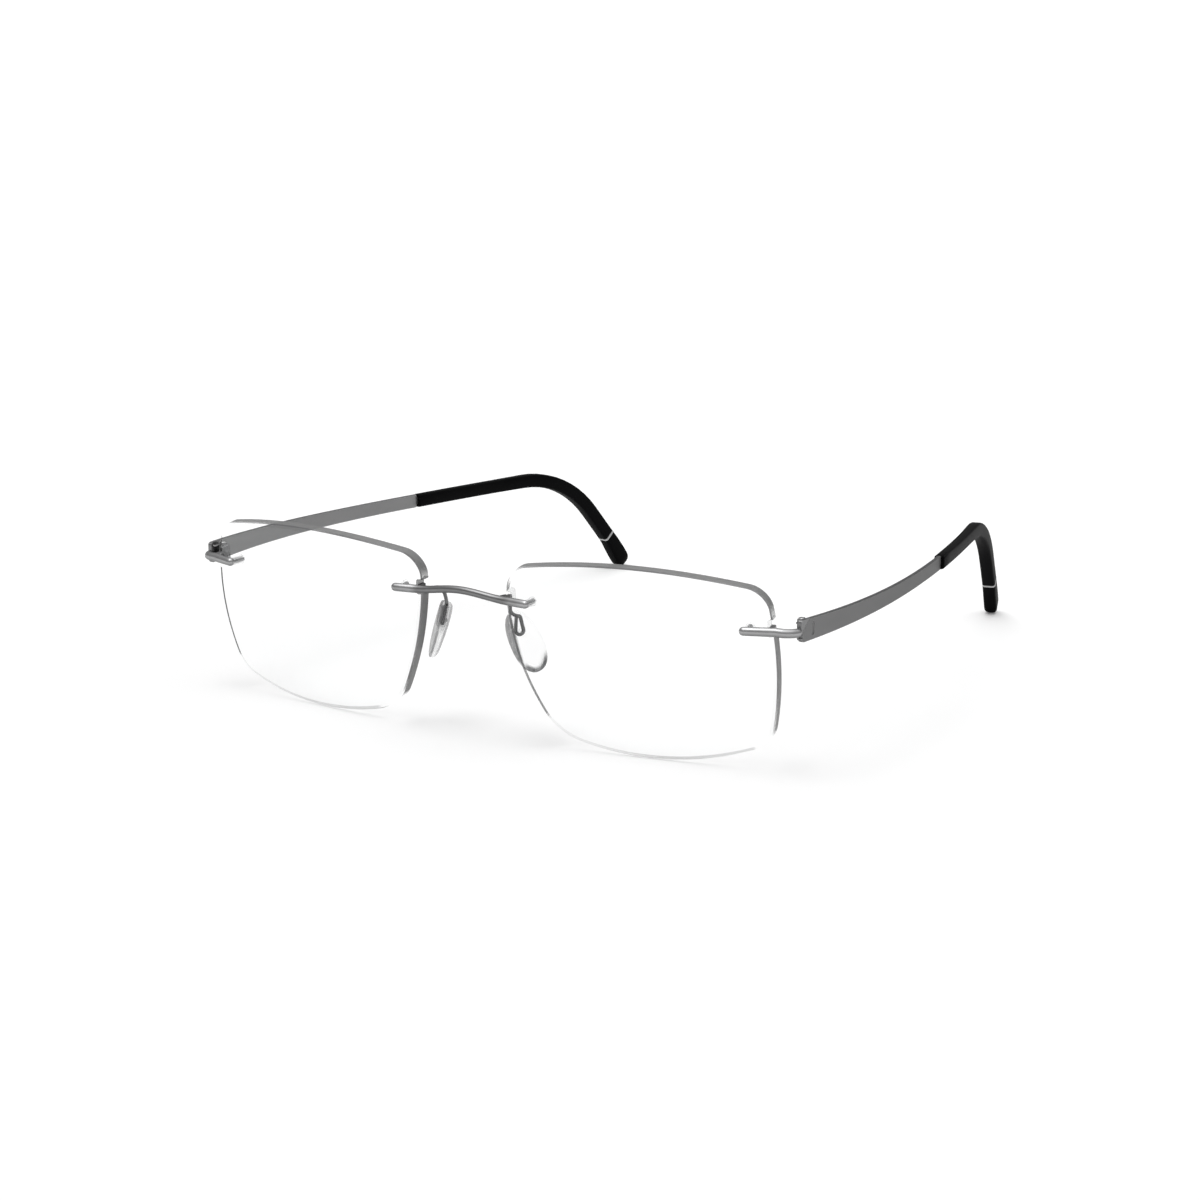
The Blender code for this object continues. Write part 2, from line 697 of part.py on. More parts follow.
def build_hinge_pin(side, tag):
    """A slotted round head above the upper lug, and a shank through all three knuckles."""
    rings = turned(Vector((PIVOT_X, PIVOT_Y, 0)), Z_AXIS, X_AXIS, Y_AXIS, HINGE_PIN_STEPS, 24)
    pin = new_object("hinge_pin_" + tag, lofted(rings), MAT_PIN, PIVOT, side)
    slot = block((PIVOT_X - 1.0, PIVOT_Y - PIN_SLOT_HALF_W, HEAD_Z + PIN_SLOT_FLOOR),
                 (PIVOT_X + 1.0, PIVOT_Y + PIN_SLOT_HALF_W, HEAD_Z + 0.6))
    cut(pin, "slot_" + tag, slot, side)


# ---------------------------------------------------------------- temple tip: shape
# the centreline runs straight, bends down, runs straight, and bends slowly once more near its end;
# stations along it are mm past the start of the first bend
BEND_Y = 115.0
BEND_R = 30.0
DROP_PITCH = math.radians(49.0)
DROP_LEN = 18.648
HOOK_AT, HOOK_R, HOOK_TURN = 9.0, 27.0, math.radians(5.0)    # the last bend
BEND_Z = strip_z(BEND_Y)
BEND_LEN = BEND_R * (DROP_PITCH - REAR_PITCH)

RING_W = 0.55
RING_AT = BEND_LEN + 8.8
SLEEVE_START = SLEEVE_Y + 0.15 - BEND_Y
SLEEVE_END = BEND_LEN + DROP_LEN
SLEEVE_W, SLEEVE_H = 2.2, 2.9
SLEEVE_GROW_W, SLEEVE_GROW_H = 0.72, 0.30
GROW_BEFORE = 14.0                  # growth starts this far ahead of the bend
GROW_OVER = BEND_LEN + 12.0
SLEEVE_FLARE = 0.65                 # extra height past the ring
FLARE_FROM, FLARE_OVER = RING_AT - 0.6, 6.5
SLEEVE_NOSE = 2.3                   # length of the rounded end
NOSE_POWER = 2.4
NOSE_W, NOSE_H = 0.5, 0.9           # section at the very end

CORE_W, CORE_H = 0.7, 1.5
CORE_END = BEND_LEN + 6.2
CORE_STATIONS = spread(SLEEVE_START, 0.0, 6) + spread(3.0, BEND_LEN, 8)
CHANNEL_GAP = 0.07
CHANNEL_CORNER = 0.12


def arc_yz(y, z, radius, start_pitch, pitch):
    """Follows a downward arc from (y, z), turning from start_pitch to pitch."""
    return (y + radius * (math.sin(pitch) - math.sin(start_pitch)),
            z - radius * (math.cos(start_pitch) - math.cos(pitch)))


def tip_yz(station):
    if station <= 0:
        return BEND_Y + station, strip_z(BEND_Y + station)
    pitch = REAR_PITCH + min(station, BEND_LEN) / BEND_R
    y, z = arc_yz(BEND_Y, BEND_Z, BEND_R, REAR_PITCH, pitch)
    past = station - BEND_LEN
    if past < 0:
        return y, z
    straight = min(past, HOOK_AT)
    y, z = y + straight * math.cos(DROP_PITCH), z - straight * math.sin(DROP_PITCH)
    if past > HOOK_AT:
        pitch = DROP_PITCH + min((past - HOOK_AT) / HOOK_R, HOOK_TURN)
        y, z = arc_yz(y, z, HOOK_R, DROP_PITCH, pitch)
        rest = max(0.0, past - HOOK_AT - HOOK_R * HOOK_TURN)
        y, z = y + rest * math.cos(pitch), z - rest * math.sin(pitch)
    return y, z


def tip_point(station):
    y, z = tip_yz(station)
    return Vector((temple_x(y), y, z))


def tip_frame(station):
    """Centre, outward axis and up axis of the tip's section."""
    along = (tip_point(station + 0.2) - tip_point(station - 0.2)).normalized()
    out = along.cross(Z_AXIS).normalized()
    return tip_point(station), out, out.cross(along)


def ease(part):
    part = min(max(part, 0.0), 1.0)
    return part * part * (3 - 2 * part)


def sleeve_size(station):
    """Width and height: a little fuller round the bend, flared past the ring, rounded off."""
    grow = ease((station + GROW_BEFORE) / GROW_OVER)
    flare = ease((station - FLARE_FROM) / FLARE_OVER)
    width = SLEEVE_W + SLEEVE_GROW_W * grow
    height = SLEEVE_H + SLEEVE_GROW_H * grow + SLEEVE_FLARE * flare
    left = SLEEVE_END - station
    if left < SLEEVE_NOSE:
        into = (SLEEVE_NOSE - left) / SLEEVE_NOSE
        full = math.sqrt(max(0.0, 1 - into ** NOSE_POWER))
        width, height = NOSE_W + (width - NOSE_W) * full, NOSE_H + (height - NOSE_H) * full
    return width, height


def sleeve_ring(station, shrink=0.0):
    width, height = [size - 2 * shrink for size in sleeve_size(station)]
    profile = rounded_rect(width, height, 0.62 * min(1.0, width / 2.0), 3)
    return place(*tip_frame(station), profile)


def channel_ring(station):
    """Section of the core's channel, with as many points as the sleeve's."""
    width, height = CORE_W + 2 * CHANNEL_GAP, CORE_H + 2 * CHANNEL_GAP
    profile = []
    for x_sign, y_sign in ((1, 1), (-1, 1), (-1, -1), (1, -1)):
        for k in range(4):
            part = k / 3.0 if x_sign == y_sign else 1 - k / 3.0
            profile.append((x_sign * (width / 2 - CHANNEL_CORNER * part),
                            y_sign * (height / 2 - CHANNEL_CORNER * (1 - part))))
    return place(*tip_frame(station), profile)


# ---------------------------------------------------------------- temple
STRIP_H_END, STRIP_H_EXTRA = 2.9, 1.6
STRIP_H_FROM, STRIP_H_OVER, STRIP_H_POWER = 72, 68, 1.8   # height grows forward of this y
STRIP_CHAMFER = 0.13
STRIP_YS = (spread(STRIP_FRONT_Y, PLATE_LINE[1], 2)
            + spread(14.5, SLEEVE_Y - 0.35, 20))
# cutters for the front corners, (y, z): the upper follows the closing line, the lower is rounded
CORNER_CUTS = {
    "upper": (
        (7.6, 31.0), (7.6, 25.95), (SPLIT_LOW[0] + SPLIT_GAP, 25.95),
        (SPLIT_LOW[0] + SPLIT_GAP, SPLIT_LOW[1] - 0.02),
        (SPLIT_HIGH[0] + 1.5 + SPLIT_GAP, SPLIT_HIGH[1] + 1.5),
    ),
    "lower": (
        (7.6, 24.0), (7.6, 25.85), (8.74, 25.72), (8.86, 25.48),
        (9.10, 25.28), (9.45, 25.14), (9.95, 25.07), (9.95, 24.0),
    ),
}
WEB_FRONT, WEB_BACK = 0.55, 0.85    # reach of the knuckle's web each way from the pivot
GROOVE_Y, GROOVE_Z = PIVOT_Y + 0.75, 27.25
GROOVE_HALF_W, GROOVE_HALF_H, GROOVE_DEPTH = 0.42, 1.3, 0.32


def strip_profile(width, height):
    """Rectangle with cut corners."""
    x, y = width / 2, height / 2
    x_in, y_in = x - STRIP_CHAMFER, y - STRIP_CHAMFER
    return [(x, -y_in), (x, y_in), (x_in, y), (-x_in, y),
            (-x, y_in), (-x, -y_in), (-x_in, -y), (x_in, -y)]


def strip_ring(y):
    if y <= PLATE_LINE[1]:
        x, out = plate_x(y), X_AXIS
    else:
        x, out = temple_x(y), strip_axes(y)[1]
    taller = max(0.0, (STRIP_H_FROM - y) / STRIP_H_OVER) ** STRIP_H_POWER
    profile = strip_profile(STRIP_T, STRIP_H_END + STRIP_H_EXTRA * taller)
    return place(Vector((x, y, strip_z(y))), out, Z_AXIS, profile)


def build_temple(side, tag, axis):
    """Flat bowed strip with the hinge's middle knuckle in front and a thin core behind."""
    rings = [strip_ring(y) for y in STRIP_YS]
    for station in [SLEEVE_START - 0.2] + CORE_STATIONS + [CORE_END]:
        rings.append(place(*tip_frame(station), strip_profile(CORE_W, CORE_H)))
    body = new_object("temple_" + tag, lofted(rings), MAT_STRIP, PIVOT, side, axis, sharp=25)
    for name, outline in CORNER_CUTS.items():
        cut(body, "%s_corner_%s" % (name, tag), plate_slab(outline, -1.0, 1.0), side)
    web = block((PIVOT_X, PIVOT_Y - WEB_FRONT, KNUCKLE[0] + BLOCK_INSET),
                (plate_x(PIVOT_Y) - 0.1, PIVOT_Y + WEB_BACK, KNUCKLE[1] - BLOCK_INSET))
    add(body, "knuckle_web_" + tag, web, side)
    add(body, "knuckle_" + tag, hinge_rod(KNUCKLE, LUG_R, bevel=HINGE_BEVEL), side)
    cut_bore(body, "temple_" + tag, side)
    # one plain upright groove on the outer face
    along, out = strip_axes(GROOVE_Y)
    face = Vector((temple_x(GROOVE_Y), GROOVE_Y, GROOVE_Z)) + out * (STRIP_T / 2)
    groove = block((-GROOVE_HALF_W, -GROOVE_HALF_H, -GROOVE_DEPTH),
                   (GROOVE_HALF_W, GROOVE_HALF_H, 0.6),
                   (along, Z_AXIS, out), face, bevel=0.3, steps=3)
    cut(body, "groove_" + tag, groove, side)


# ---------------------------------------------------------------- temple tip: pieces
RING_GROOVE = (RING_AT - RING_W / 2 - 0.03, RING_AT + RING_W / 2 + 0.03)
RING_GROOVE_DEPTH = 0.40
SLEEVE_LIP = 0.12                   # inset of the sleeve's front rim
NOSE_STATIONS = (1.9, 1.5, 1.1, 0.75, 0.45, 0.2, 0.05, 0.0)    # back from the sleeve's end
RING_DEPTH, RING_PROUD, RING_BEVEL = 0.34, 0.035, 0.06


def build_sleeve(side, tag, axis):
    """Soft tip, closed at its end, with a channel for the core and a groove for the ring."""
    start, end = RING_GROOVE
    before = (spread(SLEEVE_START + 0.3, 0.0, 7) + spread(2.4, BEND_LEN, 9)
              + spread(BEND_LEN + 3, start, 2))
    after = ([end] + spread(end + 1.5, SLEEVE_END - SLEEVE_NOSE, 3)
             + [SLEEVE_END - left for left in NOSE_STATIONS])
    outer = [sleeve_ring(SLEEVE_START, SLEEVE_LIP)]
    outer += [sleeve_ring(station) for station in before]
    outer += [sleeve_ring(start + 0.004, RING_GROOVE_DEPTH),
              sleeve_ring(end - 0.004, RING_GROOVE_DEPTH)]
    outer += [sleeve_ring(station) for station in after]
    inner = [channel_ring(station) for station in CORE_STATIONS + [CORE_END + 0.15]]
    mesh = bmesh.new()
    rim = loft(mesh, outer, cap_start=False)[0]
    mouth = loft(mesh, inner, cap_start=False)[0]
    for i in range(len(rim)):
        j = (i + 1) % len(rim)
        mesh.faces.new((rim[i], rim[j], mouth[j], mouth[i]))
    new_object("tip_sleeve_" + tag, mesh, MAT_SOFT, PIVOT, side, axis, sharp=28)


def build_ring(side, tag, axis):
    """Band in the sleeve's groove, standing slightly proud."""
    start, end = RING_AT - RING_W / 2, RING_AT + RING_W / 2
    steps = ((start, 0.0), (start + RING_BEVEL, -RING_PROUD), (end - RING_BEVEL, -RING_PROUD),
             (end, 0.0), (end, RING_DEPTH), (start, RING_DEPTH))
    rings = [sleeve_ring(station, shrink) for station, shrink in steps]
    new_object("tip_ring_" + tag, lofted(rings, closed=True), MAT_RING, PIVOT, side, axis,
               sharp=28)


# ---------------------------------------------------------------- nose pad position
# centre of the back plane; directions of the long axis, down, and of the face towards the nose
PAD_CENTRE = Vector((10.28, 5.87, 19.09))
PAD_LONG = Vector((0.366, 0.175, -0.914)).normalized()
PAD_FACE = Vector((-0.790, 0.578, -0.206)).normalized()
PAD_WIDE = PAD_LONG.cross(PAD_FACE).normalized()
PAD_FACE = (PAD_FACE - PAD_LONG * PAD_FACE.dot(PAD_LONG)).normalized()    # squared to the long axis


def pad_point(along, across, height):
    return PAD_CENTRE + PAD_LONG * along + PAD_WIDE * across + PAD_FACE * height


# the arm's eye: a long loop, its upper end the narrower
EYE_HEIGHT = 0.98                   # above the pad's back plane
EYE_CENTRE = pad_point(-2.35, -0.15, EYE_HEIGHT)
EYE_R = 0.80
EYE_LEAN = math.radians(20)         # the eye's long axis from the pad's
EYE_TOP, EYE_TOP_R = 2.25, 0.46     # the eye's upper end: distance and radius
EYE_STEPS = 10
EYE_UP = (-PAD_LONG * math.cos(EYE_LEAN) + PAD_WIDE * math.sin(EYE_LEAN)).normalized()
EYE_SIDE = (PAD_WIDE * math.cos(EYE_LEAN) + PAD_LONG * math.sin(EYE_LEAN)).normalized()
EYE_HEAD = EYE_CENTRE + EYE_UP * (EYE_TOP + EYE_TOP_R)


def eye_outline(low_radius, high_radius, lift=0.0):
    """Outline in the eye's plane: a half circle at each end."""
    points = []
    for centre, radius, start in ((0.0, low_radius, 180), (EYE_TOP, high_radius, 0)):
        for k in range(EYE_STEPS + 1):
            angle = math.radians(start + 180 * k / EYE_STEPS)
            points.append(EYE_CENTRE + EYE_SIDE * (radius * math.cos(angle))
                          + EYE_UP * (centre + radius * math.sin(angle)) + PAD_FACE * lift)
    return points


# ---------------------------------------------------------------- pad arm
ARM_X = 7.7                         # where the arm leaves the bridge
ARM_ENTRY = Vector((7.16, 5.08, 24.55))
ARM_SAG = Vector((-0.05, 0.12, -0.25))    # offset of the point half way from ARM_ENTRY to the eye
ARM_SEGMENTS = 12
# the arm from behind the bridge down to ARM_ENTRY
ARM_POINTS = (
    (7.6, 1.3, 28.30),
    (7.4, 3.1, 27.95),
    (7.2, 4.25, 26.85),
    (7.14, 4.85, 25.6),
)


def eye_loop():
    """Round wire along the eye's outline."""
    outline = eye_outline(EYE_R, EYE_TOP_R)
    section = circle(ARM_R, ARM_SEGMENTS, 0.5)
    rings = []
    for k, point in enumerate(outline):
        along = (outline[(k + 1) % len(outline)] - outline[k - 1]).normalized()
        rings.append(place(point, along.cross(PAD_FACE).normalized(), PAD_FACE, section))
    return lofted(rings, closed=True)


def build_arm(side, tag):
    """Wire from the back of the bridge to a small eye inside the nose pad."""
    start, radius = bridge_centre(ARM_X)
    points = [start + Y_AXIS * (radius + 0.05)] + [Vector(point) for point in ARM_POINTS]
    points += [ARM_ENTRY, (ARM_ENTRY + EYE_HEAD) / 2 + ARM_SAG, EYE_HEAD]
    path = catmull(points, 5)
    wire = tube(path, [ARM_R] * len(path), ARM_SEGMENTS, dome_start=False, dome_end=False)
    arm = new_object("pad_arm_" + tag, wire, MAT_METAL, start, side, sharp=50)
    add(arm, "eye_" + tag, eye_loop(), side)


# ---------------------------------------------------------------- nose pad
PAD_HALF_L, PAD_HALF_W = 6.3, 3.15
PAD_T_TOP, PAD_T_LOW = 2.5, 1.4
PAD_SEGMENTS = 32
PAD_POWER = 2.25                    # exponent of the oval; 2 would be an ellipse
PAD_FULLER = 0.10                   # extra width towards the low end
# (scale of the outline, share of the thickness), from the back to the face
PAD_RINGS = (
    (0.95, 0.0), (0.99, 0.07), (1.0, 0.22), (0.995, 0.50),
    (0.965, 0.74), (0.88, 0.92), (0.66, 1.0), (0.34, 1.04),
)
PAD_CROWN = 1.055                   # share of the thickness at the middle
POCKET_GAP = 0.28
POCKET_FLOOR = ARM_R + 0.22         # heights above the eye's plane
INSERT_BACK = -(ARM_R + 0.20)
POST_R, POST_TOP = 0.27, 0.84
FLANGE_R = 0.98


def pad_thickness(along):
    return PAD_T_TOP + (PAD_T_LOW - PAD_T_TOP) * (along / PAD_HALF_L + 1) / 2


def pad_ring(scale, share):
    """Oval that is a little fuller below its middle."""
    ring = []
    for x, y in circle(1.0, PAD_SEGMENTS):
        full = (abs(x) ** PAD_POWER + abs(y) ** PAD_POWER) ** (-1 / PAD_POWER)
        x, y = x * full, y * full
        along = PAD_HALF_L * scale * x
        across = PAD_HALF_W * scale * y * (1 + PAD_FULLER * x)
        ring.append(pad_point(along, across, pad_thickness(along) * share))
    return ring


def pad_body():
    mesh = bmesh.new()
    rows = [[mesh.verts.new(point) for point in pad_ring(*ring)] for ring in PAD_RINGS]
    for row, after in zip(rows, rows[1:]):
        for i in range(PAD_SEGMENTS):
            j = (i + 1) % PAD_SEGMENTS
            mesh.faces.new((row[i], row[j], after[j]))
            mesh.faces.new((row[i], after[j], after[i]))
    mesh.faces.new(rows[0][::-1])
    crown = mesh.verts.new(pad_point(0, 0, pad_thickness(0) * PAD_CROWN))
    for i in range(PAD_SEGMENTS):
        mesh.faces.new((rows[-1][i], rows[-1][(i + 1) % PAD_SEGMENTS], crown))
    return mesh


def build_pad(side, tag, axis):
    """Soft pad: flat back, domed face, a pocket for the arm's eye and a slot for its stem."""
    pad = new_object("nose_pad_" + tag, pad_body(), MAT_PAD, EYE_CENTRE, side, axis, sharp=60)
    gap = ARM_R + POCKET_GAP
    pocket = lofted([eye_outline(EYE_R + gap, EYE_TOP_R + gap, lift)
                     for lift in (-EYE_HEIGHT - 1.0, POCKET_FLOOR)])
    cut(pad, "pocket_" + tag, pocket, side)
    way = (ARM_ENTRY - EYE_HEAD).normalized()
    way = (way - PAD_FACE * way.dot(PAD_FACE)).normalized()
    slot = block((-0.3, -0.60, -3.0), (5.5, 0.60, POCKET_FLOOR - 0.003),
                 (way, PAD_FACE.cross(way), PAD_FACE), EYE_HEAD)
    cut(pad, "stem_slot_" + tag, slot, side)
    seat = rod(EYE_CENTRE, EYE_CENTRE + PAD_FACE * (POST_TOP + 0.06), POST_R + 0.04, 16)
    cut(pad, "seat_" + tag, seat, side)


def build_insert(side, tag, axis):
    """Plug through the arm's eye: flange behind, post into the pad."""
    steps = ((INSERT_BACK - 0.26, 0.80), (INSERT_BACK - 0.18, FLANGE_R),
             (INSERT_BACK, FLANGE_R), (INSERT_BACK, POST_R), (POST_TOP, POST_R))
    rings = turned(EYE_CENTRE, PAD_FACE, PAD_LONG, PAD_WIDE, steps, 20)
    new_object("pad_insert_" + tag, lofted(rings), MAT_CLEAR, EYE_CENTRE, side, axis)


# ---------------------------------------------------------------- assembly
def build_side(side, tag):
    build_lens(side, tag)
    for where in MOUNTS:
        build_bush(side, where, tag)
    build_endpiece(side, tag)
    build_hinge_pin(side, tag)
    build_arm(side, tag)
    temple_axis = new_axis("temple_axis_" + tag, PIVOT, side)
    for build in (build_temple, build_sleeve, build_ring):
        build(side, tag, temple_axis)
    pad_axis = new_axis("pad_axis_" + tag, EYE_CENTRE, side)
    for build in (build_pad, build_insert):
        build(side, tag, pad_axis)


build_bridge()
build_side(1, "left")
build_side(-1, "right")
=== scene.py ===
"""Rimless eyeglasses: two clear lenses and the looks for the CAD frame that joins them.

The glasses stand on the floor at z = 0, facing -Y, with x = 0 midway between the lenses. Left is
the wearer's left, +X. The lenses are worked out in millimetres; shaders and scene use metres.
"""

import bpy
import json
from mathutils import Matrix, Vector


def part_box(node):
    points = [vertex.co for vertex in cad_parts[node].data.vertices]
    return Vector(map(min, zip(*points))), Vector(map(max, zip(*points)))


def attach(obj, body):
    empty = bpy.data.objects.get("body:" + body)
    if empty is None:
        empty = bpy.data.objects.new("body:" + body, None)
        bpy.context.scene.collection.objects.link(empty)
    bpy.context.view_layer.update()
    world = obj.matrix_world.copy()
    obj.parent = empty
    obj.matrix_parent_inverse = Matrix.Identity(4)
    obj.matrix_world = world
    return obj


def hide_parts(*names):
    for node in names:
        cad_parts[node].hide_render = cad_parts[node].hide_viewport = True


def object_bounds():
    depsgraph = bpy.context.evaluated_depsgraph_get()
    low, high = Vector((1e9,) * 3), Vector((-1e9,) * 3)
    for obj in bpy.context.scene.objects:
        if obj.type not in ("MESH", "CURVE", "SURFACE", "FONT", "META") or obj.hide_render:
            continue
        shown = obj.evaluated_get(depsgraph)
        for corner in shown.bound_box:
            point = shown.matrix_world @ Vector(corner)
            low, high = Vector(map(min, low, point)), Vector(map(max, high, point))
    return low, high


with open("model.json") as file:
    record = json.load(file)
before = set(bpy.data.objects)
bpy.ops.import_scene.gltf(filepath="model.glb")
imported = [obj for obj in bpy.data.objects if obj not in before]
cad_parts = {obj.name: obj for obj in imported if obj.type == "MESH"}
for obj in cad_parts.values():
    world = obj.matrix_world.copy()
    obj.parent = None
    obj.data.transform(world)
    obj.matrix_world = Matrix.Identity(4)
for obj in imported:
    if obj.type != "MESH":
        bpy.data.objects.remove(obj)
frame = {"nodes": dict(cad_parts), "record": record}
CAD_LO, CAD_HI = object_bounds()
CAD_LO, CAD_HI = CAD_LO.copy(), CAD_HI.copy()

import json
import math

import bmesh
import bpy
from mathutils import Matrix, Vector
from mathutils.geometry import delaunay_2d_cdt

scene = bpy.context.scene
MM = 0.001
SHIFT_Y = -73.590             # mm, from the lens's own y to the frame's y
X, Y, Z = 0, 1, 2


# ---------------------------------------------------------------- node helpers
class Nodes:
    """Short calls for building the node tree of a material or world."""

    def __init__(self, owner, output="ShaderNodeOutputMaterial"):
        owner.use_nodes = True
        self.owner = owner
        self.tree = owner.node_tree
        self.tree.nodes.clear()
        self.output = self.node(output)

    def node(self, kind, **props):
        node = self.tree.nodes.new(kind)
        for key, value in props.items():
            setattr(node, key, value)
        return node

    def put(self, socket, value):
        """Links a socket, or sets a plain value; a colour may leave out its alpha."""
        if isinstance(value, bpy.types.NodeSocket):
            self.tree.links.new(value, socket)
        elif socket.type == "RGBA" and len(value) == 3:
            socket.default_value = (*value, 1.0)
        else:
            socket.default_value = value

    def fill(self, node, **values):
        """Puts values into the inputs they name, with _ for a space. None leaves one alone."""
        for key, value in values.items():
            if value is not None:
                self.put(node.inputs[key.replace("_", " ")], value)
        return node

    # numbers
    def math(self, op, a, b=0.0, c=None, clamp=False):
        node = self.node("ShaderNodeMath", operation=op, use_clamp=clamp)
        self.put(node.inputs[0], a)
        self.put(node.inputs[1], b)
        if c is not None:
            self.put(node.inputs[2], c)
        return node.outputs[0]

    def times(self, value, by, clamp=False):
        return self.math("MULTIPLY", value, by, clamp=clamp)

    def plus(self, value, more, clamp=False):
        return self.math("ADD", value, more, clamp=clamp)

    def vary(self, value, by, base, clamp=False):
        """value * by + base"""
        return self.math("MULTIPLY_ADD", value, by, base, clamp=clamp)

    def invert(self, value):
        return self.math("SUBTRACT", 1.0, value)

    def fade(self, value, start, end, before=0.0, after=1.0):
        """Smooth step from before to after as value goes from start to end."""
        node = self.node("ShaderNodeMapRange", interpolation_type="SMOOTHSTEP")
        for i, number in enumerate((value, start, end, before, after)):
            self.put(node.inputs[i], number)
        return node.outputs[0]

    def ramp(self, value, stops, ease="LINEAR"):
        """Grey ramp through (position, value) stops."""
        node = self.node("ShaderNodeValToRGB")
        node.color_ramp.interpolation = ease
        elements = node.color_ramp.elements
        for element, (place, level) in ((elements[0], stops[0]), (elements[1], stops[-1])):
            element.position = place
            element.color = (level, level, level, 1)
        for place, level in stops[1:-1]:
            elements.new(place).color = (level, level, level, 1)
        self.put(node.inputs[0], value)
        return node.outputs[0]

    def by_way(self, way, stops):
        """Ramp over a way round the lens; the stops are (degrees, value)."""
        return self.ramp(way, [((degrees + 180) / 360, level) for degrees, level in stops])

    # vectors and places
    def vector_math(self, op, a, b):
        node = self.node("ShaderNodeVectorMath", operation=op)
        self.put(node.inputs[0], a)
        self.put(node.inputs[1], b)
        return node.outputs["Value" if op == "DOT_PRODUCT" else "Vector"]

    def split(self, vector):
        node = self.node("ShaderNodeSeparateXYZ")
        self.put(node.inputs[0], vector)
        return node.outputs

    def object_place(self):
        return self.node("ShaderNodeTexCoord").outputs["Object"]

    def object_axis(self, axis):
        return self.split(self.object_place())[axis]

    def coord(self, scale=(1, 1, 1)):
        node = self.fill(self.node("ShaderNodeMapping"), Vector=self.object_place(), Scale=scale)
        return node.outputs[0]

    def normal(self):
        return self.node("ShaderNodeNewGeometry").outputs["Normal"]

    def backfacing(self):
        return self.node("ShaderNodeNewGeometry").outputs["Backfacing"]

    def edge_way(self):
        """The way a surface faces in the XZ plane: 0 at +X, 90 up, +-180 at -X, as 0 to 1."""
        facing = self.split(self.normal())
        angle = self.math("ARCTAN2", facing[Z], facing[X])
        return self.vary(angle, by=1 / (2 * math.pi), base=0.5)

    # textures and surface relief
    def noise(self, place, scale, detail=2.0, rough=0.5):
        node = self.fill(self.node("ShaderNodeTexNoise"),
                         Vector=place, Scale=scale, Detail=detail, Roughness=rough)
        return node.outputs["Fac"]

    def bump(self, height, distance, strength=1.0, normal=None):
        node = self.fill(self.node("ShaderNodeBump"),
                         Strength=strength, Distance=distance, Height=height, Normal=normal)
        return node.outputs[0]

    def rounded(self, radius):
        return self.fill(self.node("ShaderNodeBevel", samples=4), Radius=radius).outputs[0]

    def edge_mask(self, radius):
        """1 along edges, 0 on flats: how far the rounded normal leans from the real one."""
        lean = self.vector_math("DOT_PRODUCT", self.rounded(radius), self.normal())
        return self.fade(lean, start=0.995, end=0.90)

    def fresnel(self, ior, normal=None):
        return self.fill(self.node("ShaderNodeFresnel"), IOR=ior, Normal=normal).outputs[0]

    def facing(self, blend, normal=None):
        node = self.fill(self.node("ShaderNodeLayerWeight"), Blend=blend, Normal=normal)
        return node.outputs["Facing"]

    # colours and shaders
    def grey(self, tone, blue=1.0):
        """A grey of the given tone, its blue scaled."""
        node = self.node("ShaderNodeCombineColor")
        self.put(node.inputs[0], tone)
        self.put(node.inputs[1], tone)
        self.put(node.inputs[2], tone if blue == 1.0 else self.times(tone, by=blue))
        return node.outputs[0]

    def mix(self, factor, a, b):
        node = self.node("ShaderNodeMix", data_type="RGBA")
        for i, value in ((0, factor), (6, a), (7, b)):
            self.put(node.inputs[i], value)
        return node.outputs[2]

    def principled(self, colour, rough, metal=0.0, normal=None, **more):
        node = self.fill(self.node("ShaderNodeBsdfPrincipled"), Base_Color=colour,
                         Roughness=rough, Metallic=metal, Normal=normal, **more)
        return node.outputs[0]

    def transparent(self, colour=(1, 1, 1)):
        return self.fill(self.node("ShaderNodeBsdfTransparent"), Color=colour).outputs[0]

    def glossy(self, colour, rough, normal=None):
        node = self.fill(self.node("ShaderNodeBsdfAnisotropic"),
                         Color=colour, Roughness=rough, Normal=normal)
        return node.outputs[0]

    def mix_shader(self, factor, a, b):
        node = self.node("ShaderNodeMixShader")
        for i, value in enumerate((factor, a, b)):
            self.put(node.inputs[i], value)
        return node.outputs[0]

    def done(self, shader):
        self.put(self.output.inputs["Surface"], shader)
        return self.owner


def new_material(name):
    return Nodes(bpy.data.materials.new(name))


